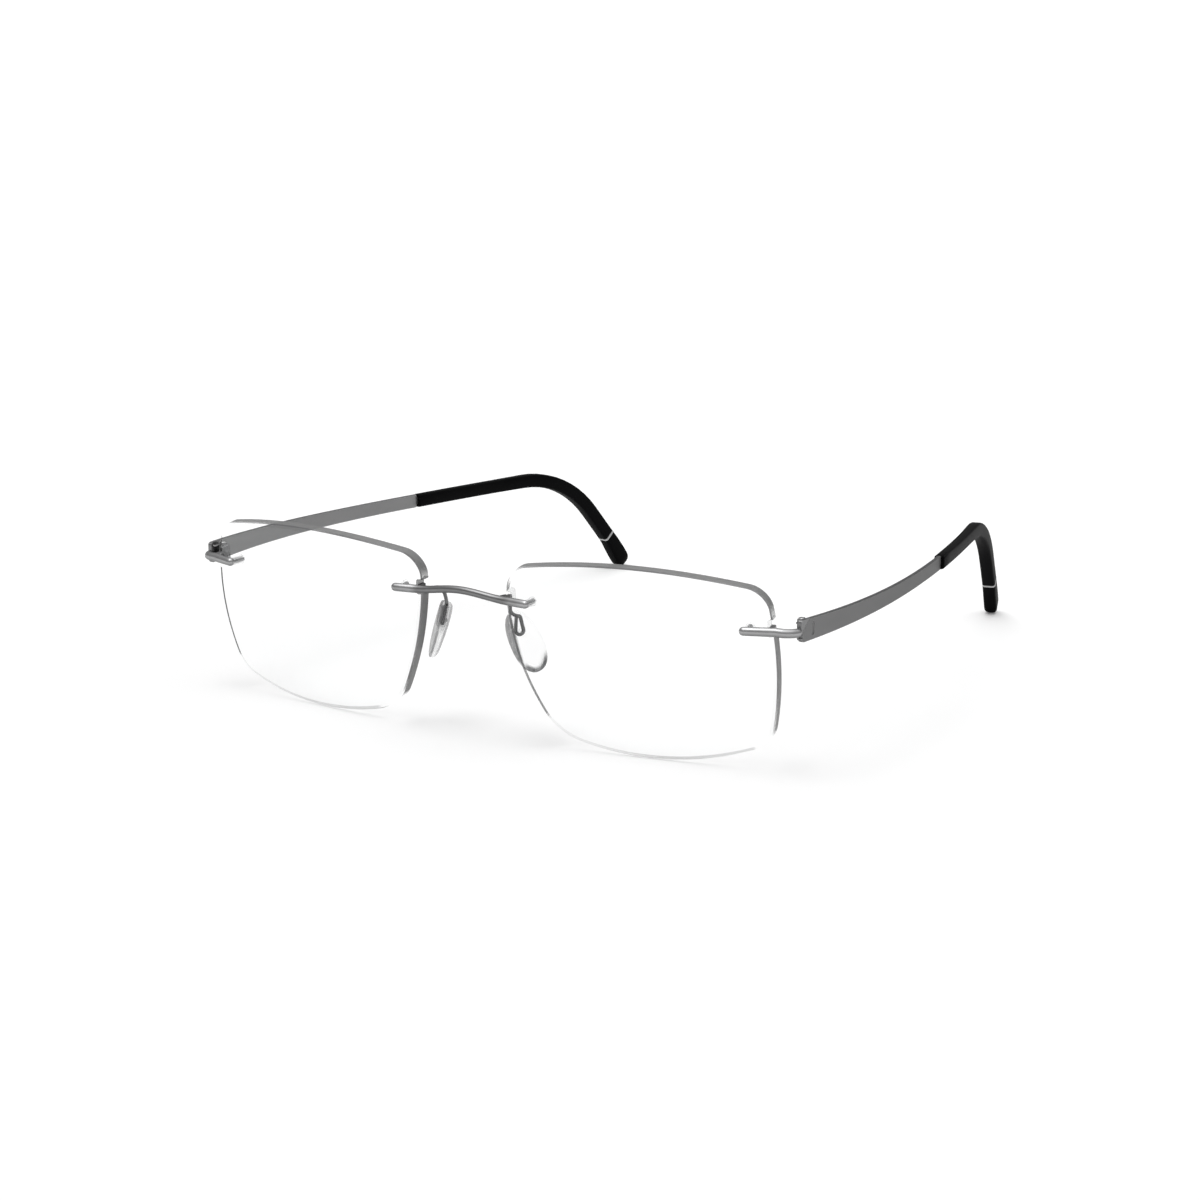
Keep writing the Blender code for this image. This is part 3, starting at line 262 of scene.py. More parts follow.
# ---------------------------------------------------------------- frame materials
def satin_metal(name, gain, hinge=False, ends=0.0):
    """Bead-finished grey metal: fine grain, slow tone changes, painted shade underneath, polished
    edges.

    gain scales the tone: each copy of the one metal is painted lighter or darker for its light.
    hinge paints shade on the part behind the bar. ends is how much painted light brightens
    the bar where it lies on a lens.
    """
    m = new_material(name)
    place = m.coord()
    grain = m.noise(place, scale=9000.0, detail=3.0, rough=0.6)
    slow = m.noise(place, scale=260.0)
    # edges: lighter and less rough
    along_edges = m.edge_mask(radius=0.00016)
    # painted shade: faces that look down are painted up to half as dark
    painted_top_light = m.fade(m.split(m.normal())[Z], start=-0.85, end=0.25)
    tone = m.vary(slow, by=0.10 * gain, base=0.46 * gain)
    if hinge:
        # painted shade: the hinge block behind the bar is painted darker
        painted_hinge_shade = m.fade(m.object_axis(Y), start=-0.06565, end=-0.06475)
        tone = m.times(tone, m.vary(painted_hinge_shade, by=-0.45, base=1.0))
    if ends:
        # painted light: the bar is painted brighter, in patches, where it lies on a lens
        painted_light_on_lens = m.fade(m.math("ABSOLUTE", m.object_axis(X)), start=0.0094, end=0.0112)
        lift = m.vary(slow, by=1.2 * ends, base=0.5 * ends)
        tone = m.times(tone, m.vary(painted_light_on_lens, by=lift, base=1.0))
    tone = m.times(tone, m.vary(painted_top_light, by=0.50, base=0.50))
    tone = m.plus(tone, m.times(along_edges, by=0.10 * gain))
    rough = m.vary(grain, by=0.12, base=0.27)
    rough = m.math("SUBTRACT", rough, m.times(along_edges, by=0.06))
    normal = m.bump(grain, distance=0.000004, strength=0.5, normal=m.rounded(radius=0.00008))
    return m.done(m.principled(m.grey(tone, blue=1.01), rough, metal=1.0, normal=normal,
                               Specular_Tint=(0.75, 0.75, 0.75)))


def brushed_strip():
    """Temple metal: fine brush lines along the strip, lighter along the edges, and painted lighter
    towards -X, on the far temple.
    """
    m = new_material("look_brushed_strip")
    lines = m.noise(m.coord(scale=(1.0, 0.02, 1.0)), scale=16000.0, detail=3.0, rough=0.65)
    slow = m.noise(m.coord(scale=(1.0, 0.35, 1.0)), scale=160.0)
    along_edges = m.edge_mask(radius=0.00014)
    tone = m.vary(lines, by=0.05, base=0.175)
    tone = m.vary(slow, by=0.03, base=tone)
    tone = m.vary(along_edges, by=0.20, base=tone)
    # painted light: the far temple, towards -X, is painted 13 per cent lighter
    tone = m.times(tone, m.fade(m.object_axis(X), start=-0.01, end=0.01, before=1.13, after=1.0))
    rough = m.vary(lines, by=0.16, base=0.36)
    normal = m.bump(lines, distance=0.000003, strength=0.35, normal=m.rounded(radius=0.00007))
    return m.done(m.principled(m.grey(tone, blue=1.005), rough, metal=1.0, normal=normal,
                               Specular_Tint=(0.5, 0.5, 0.5)))


def pin_steel():
    """Turned bright steel with faint rings."""
    m = new_material("look_pin_steel")
    rings = m.noise(m.coord(scale=(1.0, 1.0, 12.0)), scale=5200.0)
    tone = m.vary(rings, by=0.12, base=0.36)
    rough = m.vary(rings, by=0.14, base=0.16)
    normal = m.bump(rings, distance=0.000003, strength=0.4, normal=m.rounded(radius=0.00005))
    return m.done(m.principled(m.grey(tone), rough, metal=1.0, normal=normal))


def soft_black():
    """Moulded soft-touch black: very fine pebble and a dull sheen."""
    m = new_material("look_soft_black")
    place = m.coord()
    pebble = m.noise(place, scale=7000.0, detail=3.0, rough=0.6)
    slow = m.noise(place, scale=180.0)
    tone = m.vary(pebble, by=0.0015, base=0.0012)
    tone = m.vary(slow, by=0.0015, base=tone)
    rough = m.vary(pebble, by=0.12, base=0.40)
    normal = m.bump(pebble, distance=0.000006, strength=0.5, normal=m.rounded(radius=0.00022))
    return m.done(m.principled(m.grey(tone, blue=1.1), rough, normal=normal,
                               Specular_IOR_Level=0.020))


def ring_grey():
    m = new_material("look_ring_grey")
    grain = m.noise(m.coord(), scale=6000.0)
    tone = m.vary(grain, by=0.06, base=0.36)
    normal = m.bump(grain, distance=0.000003, strength=0.4, normal=m.rounded(radius=0.00006))
    return m.done(m.principled(m.grey(tone), rough=0.35, metal=0.25, normal=normal))


def clear_plastic(name, edge, face):
    """Collars and clip blocks: nearly invisible face on (face), greyer at grazing angles (edge)."""
    m = new_material(name)
    swirl = m.noise(m.coord(), scale=900.0)
    normal = m.bump(swirl, distance=0.00001, strength=0.25)
    rim = m.fade(m.facing(blend=0.5, normal=normal), start=0.55, end=1.0)
    grey_amount = m.vary(rim, by=edge, base=face)
    grey_amount = m.vary(swirl, by=0.02, base=grey_amount, clamp=True)
    base = m.mix_shader(grey_amount, m.transparent(colour=(0.99, 0.99, 0.99)),
                        m.principled(colour=(0.30, 0.31, 0.32), rough=0.35, normal=normal))
    shine = m.times(m.fresnel(ior=1.45, normal=normal), by=0.4)
    return m.done(m.mix_shader(shine, base, m.glossy((1, 1, 1), rough=0.06, normal=normal)))


# The left nose pad, in metres: the middle of its back, its long direction (downwards), its thin
# direction (from the flat back to the domed face), and its cross direction (forwards).
PAD_BACK = (0.01028, 0.00587 + SHIFT_Y * MM, 0.01909)
PAD_LONG = Vector((0.366, 0.175, -0.914)).normalized()
PAD_THIN = Vector((-0.790, 0.578, -0.206)).normalized()
PAD_CROSS = PAD_THIN.cross(PAD_LONG).normalized()
PAD_HALF_LENGTH, PAD_HALF_WIDTH, PAD_DEPTH = 0.0063, 0.00315, 0.0025


def left_pad_painted_bands(m, across, down, ahead):
    """Painted grey, for the view through the pad, along the forward edge and the low end, with a
    faint line all round.
    """
    wide = m.vary(down, by=-0.35, base=across)
    out = m.math("SQRT", m.plus(m.times(across, across), m.times(down, down)))
    edge = m.times(m.fade(wide, start=0.50, end=0.72), m.fade(down, start=0.75, end=0.35))
    low = m.times(m.fade(out, start=0.80, end=0.93), m.fade(down, start=0.48, end=0.80))
    painted_bands = m.math("MAXIMUM", m.times(edge, by=0.72), m.times(low, by=0.88))
    painted_bands = m.plus(painted_bands, m.times(m.fade(out, start=0.90, end=1.0), by=0.03))
    return m.times(painted_bands, m.vary(ahead, by=0.85, base=0.15))


def right_pad_painted_bands(m, deep, down, ahead):
    """Painted grey, for the view through the pad, next to the flat back, on the dome and over the
    top end.
    """
    depth = m.math("DIVIDE", deep, m.vary(down, by=-0.22, base=0.78))
    flat = m.times(m.fade(depth, start=0.34, end=0.14), by=0.80)
    dome = m.times(m.fade(depth, start=0.50, end=0.78), by=0.62)
    top = m.times(m.fade(down, start=0.10, end=-0.40), by=0.42)
    painted_bands = m.math("MAXIMUM", m.math("MAXIMUM", flat, dome), top)
    return m.times(painted_bands, m.vary(ahead, by=0.84, base=0.10))


def pad_silicone(name, side):
    """Clear soft pad with streaky painted grey bands, for the view through it. side is 1 for the
    left pad, -1 for the right.
    """
    m = new_material(name)
    swirl = m.noise(m.coord(), scale=700.0)
    normal = m.bump(swirl, distance=0.00001, strength=0.2)
    ahead = m.invert(m.backfacing())
    back_x, back_y, back_z = PAD_BACK
    from_back = m.vector_math("SUBTRACT", m.object_place(), (back_x * side, back_y, back_z))

    def along(way, size):
        scaled = Vector((way.x * side, way.y, way.z)) / size
        return m.vector_math("DOT_PRODUCT", from_back, scaled)

    down = along(PAD_LONG, PAD_HALF_LENGTH)
    streak = m.noise(m.coord(scale=(1.0, 1.0, 0.22)), scale=2200.0, rough=0.6)
    # painted grey bands stand in for the view through the pad
    if side > 0:
        painted_bands = left_pad_painted_bands(m, along(PAD_CROSS, PAD_HALF_WIDTH), down, ahead)
    else:
        painted_bands = right_pad_painted_bands(m, along(PAD_THIN, PAD_DEPTH), down, ahead)
    painted_bands = m.times(painted_bands, m.vary(streak, by=0.7, base=0.66), clamp=True)
    grey_amount = m.plus(painted_bands, more=0.012, clamp=True)
    base = m.mix_shader(grey_amount, m.transparent(colour=(0.992, 0.992, 0.992)),
                        m.principled(colour=(0.13, 0.13, 0.134), rough=0.4, normal=normal,
                                     Specular_IOR_Level=0.2))
    shine = m.times(m.fresnel(ior=1.41, normal=normal), by=0.25)
    return m.done(m.mix_shader(shine, base, m.glossy((1, 1, 1), rough=0.10, normal=normal)))


# ---------------------------------------------------------------- lens materials
def lens_face():
    """Polished clear face: a few per cent of mirror reflection, faint coating tint and smears."""
    m = new_material("look_lens_face")
    smear = m.noise(m.coord(), scale=55.0, detail=3.0, rough=0.55)
    rough = m.vary(smear, by=0.02, base=0.005)
    shine = m.times(m.fresnel(ior=1.5), by=0.55)
    shine = m.times(shine, m.invert(m.backfacing()))
    tint = m.mix(m.facing(blend=0.4), a=(0.93, 1.0, 0.97), b=(0.98, 0.96, 1.0))
    in_shadow = m.node("ShaderNodeLightPath").outputs["Is Shadow Ray"]
    clear = m.mix(in_shadow, a=(0.998, 0.999, 0.999), b=(0.90, 0.90, 0.90))
    return m.done(m.mix_shader(shine, m.transparent(clear), m.glossy(tint, rough)))


def lens_wall(name, low, spread):
    """Ground edge seen from outside: grey with fine lines, painted shade on the walls facing down
    or +X, clear below, and faded as painted light just above the bars.

    Below the lens the grey returns over the spread degrees before low.
    """
    m = new_material(name)
    lines = m.noise(m.coord(), scale=5200.0, rough=0.6)
    slow = m.noise(m.coord(), scale=70.0)
    # painted shade: the wall is darker where it faces down or +X, lighter where it faces up
    painted_side_shade = m.by_way(m.edge_way(),
                    ((-180, 1.0), (-40, 1.0), (0, 1.0), (50, 0.75), (88, 0.30), (180, 0.3)))
    tone = m.vary(painted_side_shade, by=-0.060, base=0.170)
    tone = m.vary(lines, by=0.03, base=tone)
    tone = m.vary(slow, by=0.03, base=tone)
    keep = m.by_way(m.edge_way(), (
        (-180, 0.9), (-140, 0.9), (-122, 0.0), (low - spread, 0.0), (low, 1.0),
        (0, 1.0), (100, 1.0), (180, 0.9)))
    height = m.object_axis(Z)
    # painted light: the wall facing +X fades out just above the bars
    painted_glow = m.times(m.fade(height, start=0.0287, end=0.0296),
                   m.fade(height, start=0.0322, end=0.0298))
    painted_glow_side = m.by_way(m.edge_way(), (
        (-180, 0.0), (-45, 0.0), (-25, 1.0), (35, 1.0), (60, 0.0), (180, 0.0)))
    keep = m.times(keep, m.invert(m.times(m.times(painted_glow, painted_glow_side), by=0.40)))
    keep = m.times(keep, m.invert(m.backfacing()))
    solid = m.principled(m.grey(tone), rough=0.42, Specular_IOR_Level=0.3,
                         normal=m.bump(lines, distance=0.000004, strength=0.4))
    return m.done(m.mix_shader(m.times(keep, by=0.95), m.transparent(), solid))


def lens_rim(name, stops, stored_way=False):
    """Grey line round the lens, its depth set by (degrees, value) stops; clear from behind.

    stored_way reads the way from the mesh, for the line on the face, instead of the normal.
    """
    m = new_material(name)
    slow = m.noise(m.coord(), scale=90.0)
    if stored_way:
        way = m.node("ShaderNodeAttribute", attribute_name="rim_way").outputs["Fac"]
    else:
        way = m.edge_way()
    keep = m.times(m.by_way(way, stops), m.vary(slow, by=0.4, base=0.8), clamp=True)
    keep = m.times(keep, m.invert(m.backfacing()))
    # painted light: above the bars, the lines facing -X are made a little fainter
    above = m.fade(m.object_axis(Z), start=0.0275, end=0.0290)
    towards_minus_x = m.by_way(way, (
        (-180, 1.0), (-150, 1.0), (-130, 0.0), (130, 0.0), (160, 1.0), (180, 1.0)))
    keep = m.times(keep, m.invert(m.times(m.times(above, towards_minus_x), by=0.12)))
    # painted light: the line is lighter where it faces +X and up, darker elsewhere
    tone = m.by_way(way, (
        (-180, 0.085), (-30, 0.085), (-12, 0.135), (100, 0.14), (122, 0.085), (180, 0.085)))
    solid = m.principled(m.grey(tone, blue=1.03), rough=0.35, Specular_IOR_Level=0.3)
    return m.done(m.mix_shader(keep, m.transparent(), solid))


def milled_wall(name, tone, keep):
    """Frosted wall of an edge notch or a drilled hole; keep is how solid it looks."""
    m = new_material(name)
    grain = m.noise(m.coord(), scale=4000.0)
    solid = m.principled(m.grey(m.vary(grain, by=0.05, base=tone), blue=1.02), rough=0.5)
    return m.done(m.mix_shader(m.vary(grain, by=0.12 * keep, base=keep), m.transparent(), solid))


# ---------------------------------------------------------------- dressing the CAD nodes
# One metal in three copies: the gain paints the end pieces lighter and the bridge darker, for the
# light that falls on them
bridge_metal = satin_metal("look_satin_bridge", gain=0.48, ends=0.65)
end_metal = satin_metal("look_satin_end", gain=0.84, hinge=True)
wire_metal = satin_metal("look_satin_wire", gain=0.36)
LOOK_BY_SLOT = {
    "satin_metal": end_metal,
    "brushed_strip": brushed_strip(),
    "pin_steel": pin_steel(),
    "soft_black": soft_black(),
    "ring_grey": ring_grey(),
    "bush_clear": clear_plastic("look_bush_clear", edge=0.10, face=0.02),
    "pad_silicone": pad_silicone("look_pad_silicone_left", side=1),
}
clip_clear = clear_plastic("look_clip_clear", edge=0.02, face=0.005)
LOOK_BY_NODE = {               # these go before the look of their slot
    "bridge_bar": bridge_metal,
    "pad_arm_left": wire_metal,
    "pad_arm_right": wire_metal,
    "pad_insert_left": clip_clear,
    "pad_insert_right": clip_clear,
    "nose_pad_right": pad_silicone("look_pad_silicone_right", side=-1),
}
CRISP_SLOTS = ("brushed_strip", "soft_black", "ring_grey")
CRISP_ANGLE, SOFT_ANGLE = 28, 40      # degrees up to which edges are shaded smooth


def smoothing(angle):
    """Node group that joins split corners and shades smoothly up to an angle."""
    group = bpy.data.node_groups.new("smooth_%d" % angle, "GeometryNodeTree")
    for direction in ("INPUT", "OUTPUT"):
        group.interface.new_socket("Geometry", in_out=direction,
                                   socket_type="NodeSocketGeometry")
    new, link = group.nodes.new, group.links.new
    source, result = new("NodeGroupInput"), new("NodeGroupOutput")
    last = source.outputs[0]
    for name in ("custom_normal", "sharp_face", "sharp_edge"):
        remove = new("GeometryNodeRemoveAttribute")
        link(last, remove.inputs[0])
        remove.inputs["Name"].default_value = name
        last = remove.outputs[0]
    weld = new("GeometryNodeMergeByDistance")
    link(last, weld.inputs["Geometry"])
    weld.inputs["Distance"].default_value = 0.000002
    smooth_faces = new("GeometryNodeSetShadeSmooth")
    smooth_faces.domain = "FACE"
    link(weld.outputs[0], smooth_faces.inputs[0])
    edge_angle = new("GeometryNodeInputMeshEdgeAngle")
    compare = new("FunctionNodeCompare")
    compare.data_type = "FLOAT"
    compare.operation = "LESS_THAN"
    link(edge_angle.outputs[0], compare.inputs[0])
    compare.inputs[1].default_value = math.radians(angle)
    smooth_edges = new("GeometryNodeSetShadeSmooth")
    smooth_edges.domain = "EDGE"
    link(smooth_faces.outputs[0], smooth_edges.inputs[0])
    link(compare.outputs[0], smooth_edges.inputs["Shade Smooth"])
    link(smooth_edges.outputs[0], result.inputs[0])
    return group


def dress_frame():
    groups = {angle: smoothing(angle) for angle in (CRISP_ANGLE, SOFT_ANGLE)}
    slot_of = {part["node"]: part["material_slot"] for part in frame["record"]["subparts"]}
    for name, ob in frame["nodes"].items():
        look = LOOK_BY_NODE.get(name) or LOOK_BY_SLOT.get(slot_of[name])
        if look is None:
            continue
        for slot in ob.material_slots:
            slot.material = look
        modifier = ob.modifiers.new("smooth", "NODES")
        modifier.node_group = groups[CRISP_ANGLE if slot_of[name] in CRISP_SLOTS else SOFT_ANGLE]


dress_frame()


# ---------------------------------------------------------------- lens shape, in mm
# A lens is drawn in its own (u, v): u towards the temple, v up. Depth runs backwards from the
# front face. Everything is worked out for the left lens; the right one is its mirror image.
LENS_CENTRE = Vector((36.2, 0, 21.216))
WRAP, TILT = math.radians(7.24), math.radians(8.34)
FRONT_RADIUS = 90.0           # of the spherical face
THICKNESS = 2.2
# One row a corner: u, v, the bulge of the side to the next corner, the length the corner cuts
# off each of its sides.
LENS_CORNERS = (
    (24.05, -18.15, 2.0, 3.3),
    (24.8, 12.35, 3.25, 3.5),
    (-26.0, 13.1, 0.5, 4.0),
    (-26.2, 1.5, 1.0, 7.1),
    (-18.0, -18.75, 3.41, 4.6),
)
CORNER_HANDLE = 0.56          # Bezier handle as a part of the corner's cut
SIDE_STEPS = 400              # fine steps for measuring along a side
POINTS_PER_MM = 3.75
CORNER_STEPS = 14
BEVEL = 0.22                  # safety bevel, front and back
LINE_WIDTH = 0.55             # band of the front face next to the bevel

# The two mounts, nose then temple: side, notch x, hole x, z, and how far the notch reaches up.
MOUNTS = (
    (-1, 10.0, 13.7, 28.22, 1.49),
    (1, 61.7, 57.4, 27.38, 1.89),
)
NOTCH_IN = 0.95
NOTCH_DOWN = 1.05
NOTCH_RADIUS = 0.2
NOTCH_CLEAR = 0.95            # outline points this near a notch make way for it
HOLE_RADIUS = 0.80
HOLE_DROP = 0.28              # hole centre below the mount's z
HOLE_POINTS = 32

GRID_STEP = 1.7               # fill points inside the outline
GRID_ROW = 0.9                # row height as a part of the step
GRID_GAP_SQUARED = 0.8        # least squared distance from an outline point
CAD_SLACK = 0.0003            # m, how far a lens may miss its CAD box

TILT_TURN = Matrix.Rotation(TILT, 3, "X")
AXIS_U = TILT_TURN @ Vector((math.cos(WRAP), math.sin(WRAP), 0))
AXIS_DEPTH = TILT_TURN @ Vector((-math.sin(WRAP), math.cos(WRAP), 0))
AXIS_V = TILT_TURN @ Vector((0, 0, 1))

# Material slots of a lens
FACE, WALL, FRONT_BEVEL, BACK_BEVEL, NOTCH, LINE, HOLE = range(7)


def sag(u, v):
    return FRONT_RADIUS - math.sqrt(FRONT_RADIUS ** 2 - u * u - v * v)


def lens_point(u, v, depth=0.0):
    return LENS_CENTRE + AXIS_U * u + AXIS_V * v + AXIS_DEPTH * (sag(u, v) + depth)


def lens_uv(x, z):
    """The (u, v) of the front face seen at (x, z), by iteration."""
    u, v = x - LENS_CENTRE.x, z - LENS_CENTRE.z
    for _ in range(25):
        point = lens_point(u, v)
        u += (x - point.x) / math.cos(WRAP)
        v += (z - point.z) / math.cos(TILT)
    return u, v


def bulged_side(a, b, rise):
    a, b = Vector(a), Vector(b)
    run = b - a
    out = Vector((run.y, -run.x)).normalized()
    fractions = (i / SIDE_STEPS for i in range(SIDE_STEPS + 1))
    return [a + run * t + out * (4 * rise * t * (1 - t)) for t in fractions]


def walk(side, distance):
    """Point and direction at a distance along a side."""
    total = 0.0
    for p, q in zip(side, side[1:]):
        step = (q - p).length
        if total + step >= distance:
            return p.lerp(q, (distance - total) / step), (q - p).normalized()
        total += step
    return side[-1], (side[-1] - side[-2]).normalized()


def lens_outline():
    """Bulged sides joined by Bezier corners."""
    following = LENS_CORNERS[1:] + LENS_CORNERS[:1]
    sides = [bulged_side(a[:2], b[:2], rise=a[2]) for a, b in zip(LENS_CORNERS, following)]
    points = []
    for i, side in enumerate(sides):
        next_side = sides[(i + 1) % len(sides)]
        cut, next_cut = LENS_CORNERS[i][3], following[i][3]
        end = sum((q - p).length for p, q in zip(side, side[1:])) - next_cut
        count = max(3, round(POINTS_PER_MM * (end - cut)))
        for k in range(count):
            points.append(walk(side, cut + (end - cut) * k / (count - 1))[0])
        p1, way1 = walk(side, end)
        p2, way2 = walk(next_side, next_cut)
        handle = CORNER_HANDLE * next_cut
        c1, c2 = p1 + way1 * handle, p2 - way2 * handle
        for k in range(1, CORNER_STEPS):
            t = k / CORNER_STEPS
            points.append(p1 * (1 - t) ** 3 + c1 * (3 * t * (1 - t) ** 2)
                          + c2 * (3 * t * t * (1 - t)) + p2 * t ** 3)
    return [(p.x, p.y) for p in points]


def edge_u(outline, v, side):
    """u of the outline at height v, on the temple (1) or nose (-1) side."""
    crossings = [
        p[0] + (q[0] - p[0]) * (v - p[1]) / (q[1] - p[1])
        for p, q in zip(outline, outline[1:] + outline[:1])
        if (p[1] - v) * (q[1] - v) <= 0 and abs(q[1] - p[1]) > 1e-9]
    return max(crossings) if side > 0 else min(crossings)


def notch(outline, side, v_mid, up):
    """Cuts a small rounded rectangle out of the outline at one mount."""
    v0, v1 = v_mid - NOTCH_DOWN, v_mid + up
    u_in = edge_u(outline, v_mid, side) - side * NOTCH_IN
    r = NOTCH_RADIUS
    cut = [(edge_u(outline, v0, side), v0)]
    for corner_v, start in ((v0 + r, 270), (v1 - r, 180)):
        for k in range(5):
            a = math.radians(start - 90 * k / 4)
            cut.append((u_in + side * (r + r * math.cos(a)), corner_v + r * math.sin(a)))
    cut.append((edge_u(outline, v1, side), v1))
    if side < 0:
        cut.reverse()
    gone = [i for i, (u, v) in enumerate(outline)
            if u * side > 5 and v0 - NOTCH_CLEAR < v < v1 + NOTCH_CLEAR]
    return outline[:gone[0]] + cut + outline[gone[-1] + 1:]


def inset(outline, distance):
    """The outline moved inwards."""
    moved = []
    for i, here in enumerate(outline):
        a, b, c = Vector(outline[i - 1]), Vector(here), Vector(outline[(i + 1) % len(outline)])
        before, after = (b - a).normalized(), (c - b).normalized()
        before, after = Vector((-before.y, before.x)), Vector((-after.y, after.x))
        mitre = before + after
        mitre = mitre / max(mitre.length, 1e-6)
        k = distance / max(mitre.dot(before), 0.6)
        moved.append((b.x + mitre.x * k, b.y + mitre.y * k))
    return moved


def inside(point, outline):
    hit = False
    x, y = point
    for (x0, y0), (x1, y1) in zip(outline, outline[1:] + outline[:1]):
        if (y0 > y) != (y1 > y) and x < x0 + (x1 - x0) * (y - y0) / (y1 - y0):
            hit = not hit
    return hit


def ring(u, v):
    turns = (2 * math.pi * k / HOLE_POINTS for k in range(HOLE_POINTS))
    return [(u + HOLE_RADIUS * math.cos(a), v + HOLE_RADIUS * math.sin(a)) for a in turns]


def through_hole(u, v):
    """Front and back rings of a hole drilled square to the front face at (u, v)."""
    front_sag = sag(u, v)
    drill = Vector((-u, -v, FRONT_RADIUS - front_sag)).normalized()    # in (u, v, depth)
    back_u, back_v = u, v
    for _ in range(12):
        t = (sag(back_u, back_v) + THICKNESS - front_sag) / drill.z
        back_u, back_v = u + drill.x * t, v + drill.y * t
    return ring(u, v), ring(back_u, back_v)


# ---------------------------------------------------------------- lens mesh
def add_row(bm, line, depth, mirror):
    points = [lens_point(u, v, depth) for u, v in line]
    return [bm.verts.new((p.x * mirror, p.y, p.z)) for p in points]


def sheet(bm, outline, holes, depth, mirror, flip):
    """Fills the outline, less its holes, with fine triangles. Returns the vertices of each loop."""
    loops = [outline] + holes
    points, edges, starts = [], [], []
    for loop in loops:
        start, n = len(points), len(loop)
        starts.append(start)
        points += loop
        edges += [(start + i, start + (i + 1) % n) for i in range(n)]
    fixed = list(points)
    for row in range(-13, 14):
        for column in range(-18, 19):
            u, v = (column + 0.5 * (row % 2)) * GRID_STEP, row * GRID_STEP * GRID_ROW
            if inside((u, v), outline) and not any(
                    (u - q[0]) ** 2 + (v - q[1]) ** 2 < GRID_GAP_SQUARED for q in fixed):
                points.append((u, v))
    flat, _, triangles, sources, _, _ = delaunay_2d_cdt(
        [Vector(p) for p in points], edges, [], 0, 1e-7)
    verts = add_row(bm, flat, depth, mirror)
    for corners in triangles:
        middle = sum((flat[i] for i in corners), Vector((0, 0))) / len(corners)
        if inside(middle, outline) and not any(inside(middle, hole) for hole in holes):
            bm.faces.new([verts[i] for i in (corners[::-1] if flip else corners)])
    where = {old: new for new, olds in enumerate(sources) for old in olds}
    return [[verts[where[i]] for i in range(start, start + len(loop))]
            for start, loop in zip(starts, loops)]


def skin(bm, way, a, b, slot, cut=(), cut_slot=FACE):
    """Quads between two rows, each storing the way it faces; those at cut take cut_slot."""
    n = len(a)
    for i in range(n):
        j = (i + 1) % n
        face = bm.faces.new((a[i], b[i], b[j], a[j]))
        face.material_index = cut_slot if i in cut or j in cut else slot
        out = b[i].co + b[j].co - a[i].co - a[j].co
        face[way] = math.atan2(out.z, out.x) / (2 * math.pi) + 0.5


def build_lens(node, mirror, looks):
    outline = lens_outline()
    shape = outline
    notches = {}
    front_holes, back_holes = [], []
    for side, notch_x, hole_x, z, up in MOUNTS:
        notches[side] = (lens_uv(notch_x, z)[1], up)
        front, back = through_hole(*lens_uv(hole_x, z - HOLE_DROP))
        front_holes.append(front)
        back_holes.append(back)
    for side in (1, -1):
        shape = notch(shape, side, *notches[side])
    cut = set()                # outline points on the walls of a notch
    for i, (u, v) in enumerate(shape):
        side = 1 if u > 0 else -1
        v_mid, up = notches[side]
        if (v_mid - NOTCH_DOWN - 0.01 < v < v_mid + up + 0.01
                and abs(edge_u(outline, v, side) - u) > 0.02):
            cut.add(i)

    bm = bmesh.new()
    way = bm.faces.layers.float.new("rim_way")
    slim, slimmer = inset(shape, BEVEL), inset(shape, BEVEL + LINE_WIDTH)
    front_rim, *front_rings = sheet(bm, slimmer, front_holes, 0.0, mirror, flip=False)
    back_rim, *back_rings = sheet(bm, slim, back_holes, THICKNESS, mirror, flip=True)
    front_slim = add_row(bm, slim, 0.0, mirror)
    front_wall = add_row(bm, shape, BEVEL, mirror)
    back_wall = add_row(bm, shape, THICKNESS - BEVEL, mirror)
    skin(bm, way, front_rim, front_slim, LINE, cut, FACE)
    skin(bm, way, front_slim, front_wall, FRONT_BEVEL, cut, NOTCH)
    skin(bm, way, front_wall, back_wall, WALL, cut, NOTCH)
    skin(bm, way, back_wall, back_rim, BACK_BEVEL, cut, NOTCH)
    for front, back in zip(front_rings, back_rings):
        skin(bm, way, back, front, HOLE)
    for face in bm.faces:
        face.smooth = True
    bmesh.ops.recalc_face_normals(bm, faces=bm.faces)
    for v in bm.verts:
        v.co = Vector((v.co.x, v.co.y + SHIFT_Y, v.co.z)) * MM
    mesh = bpy.data.meshes.new(node + "_clear")
    bm.to_mesh(mesh)
    bm.free()
    for look in looks:
        mesh.materials.append(look)
    mesh.set_sharp_from_angle(angle=math.radians(24))
    ob = bpy.data.objects.new(node + "_clear", mesh)
    scene.collection.objects.link(ob)
    box_lo, box_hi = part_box(node)
    for axis in (X, Y, Z):
        spots = [v.co[axis] for v in mesh.vertices]
        if max(abs(min(spots) - box_lo[axis]), abs(max(spots) - box_hi[axis])) > CAD_SLACK:
            raise ValueError("the lens doesn't sit in its CAD box: %s" % node)
    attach(ob, "front")
    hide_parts(node)


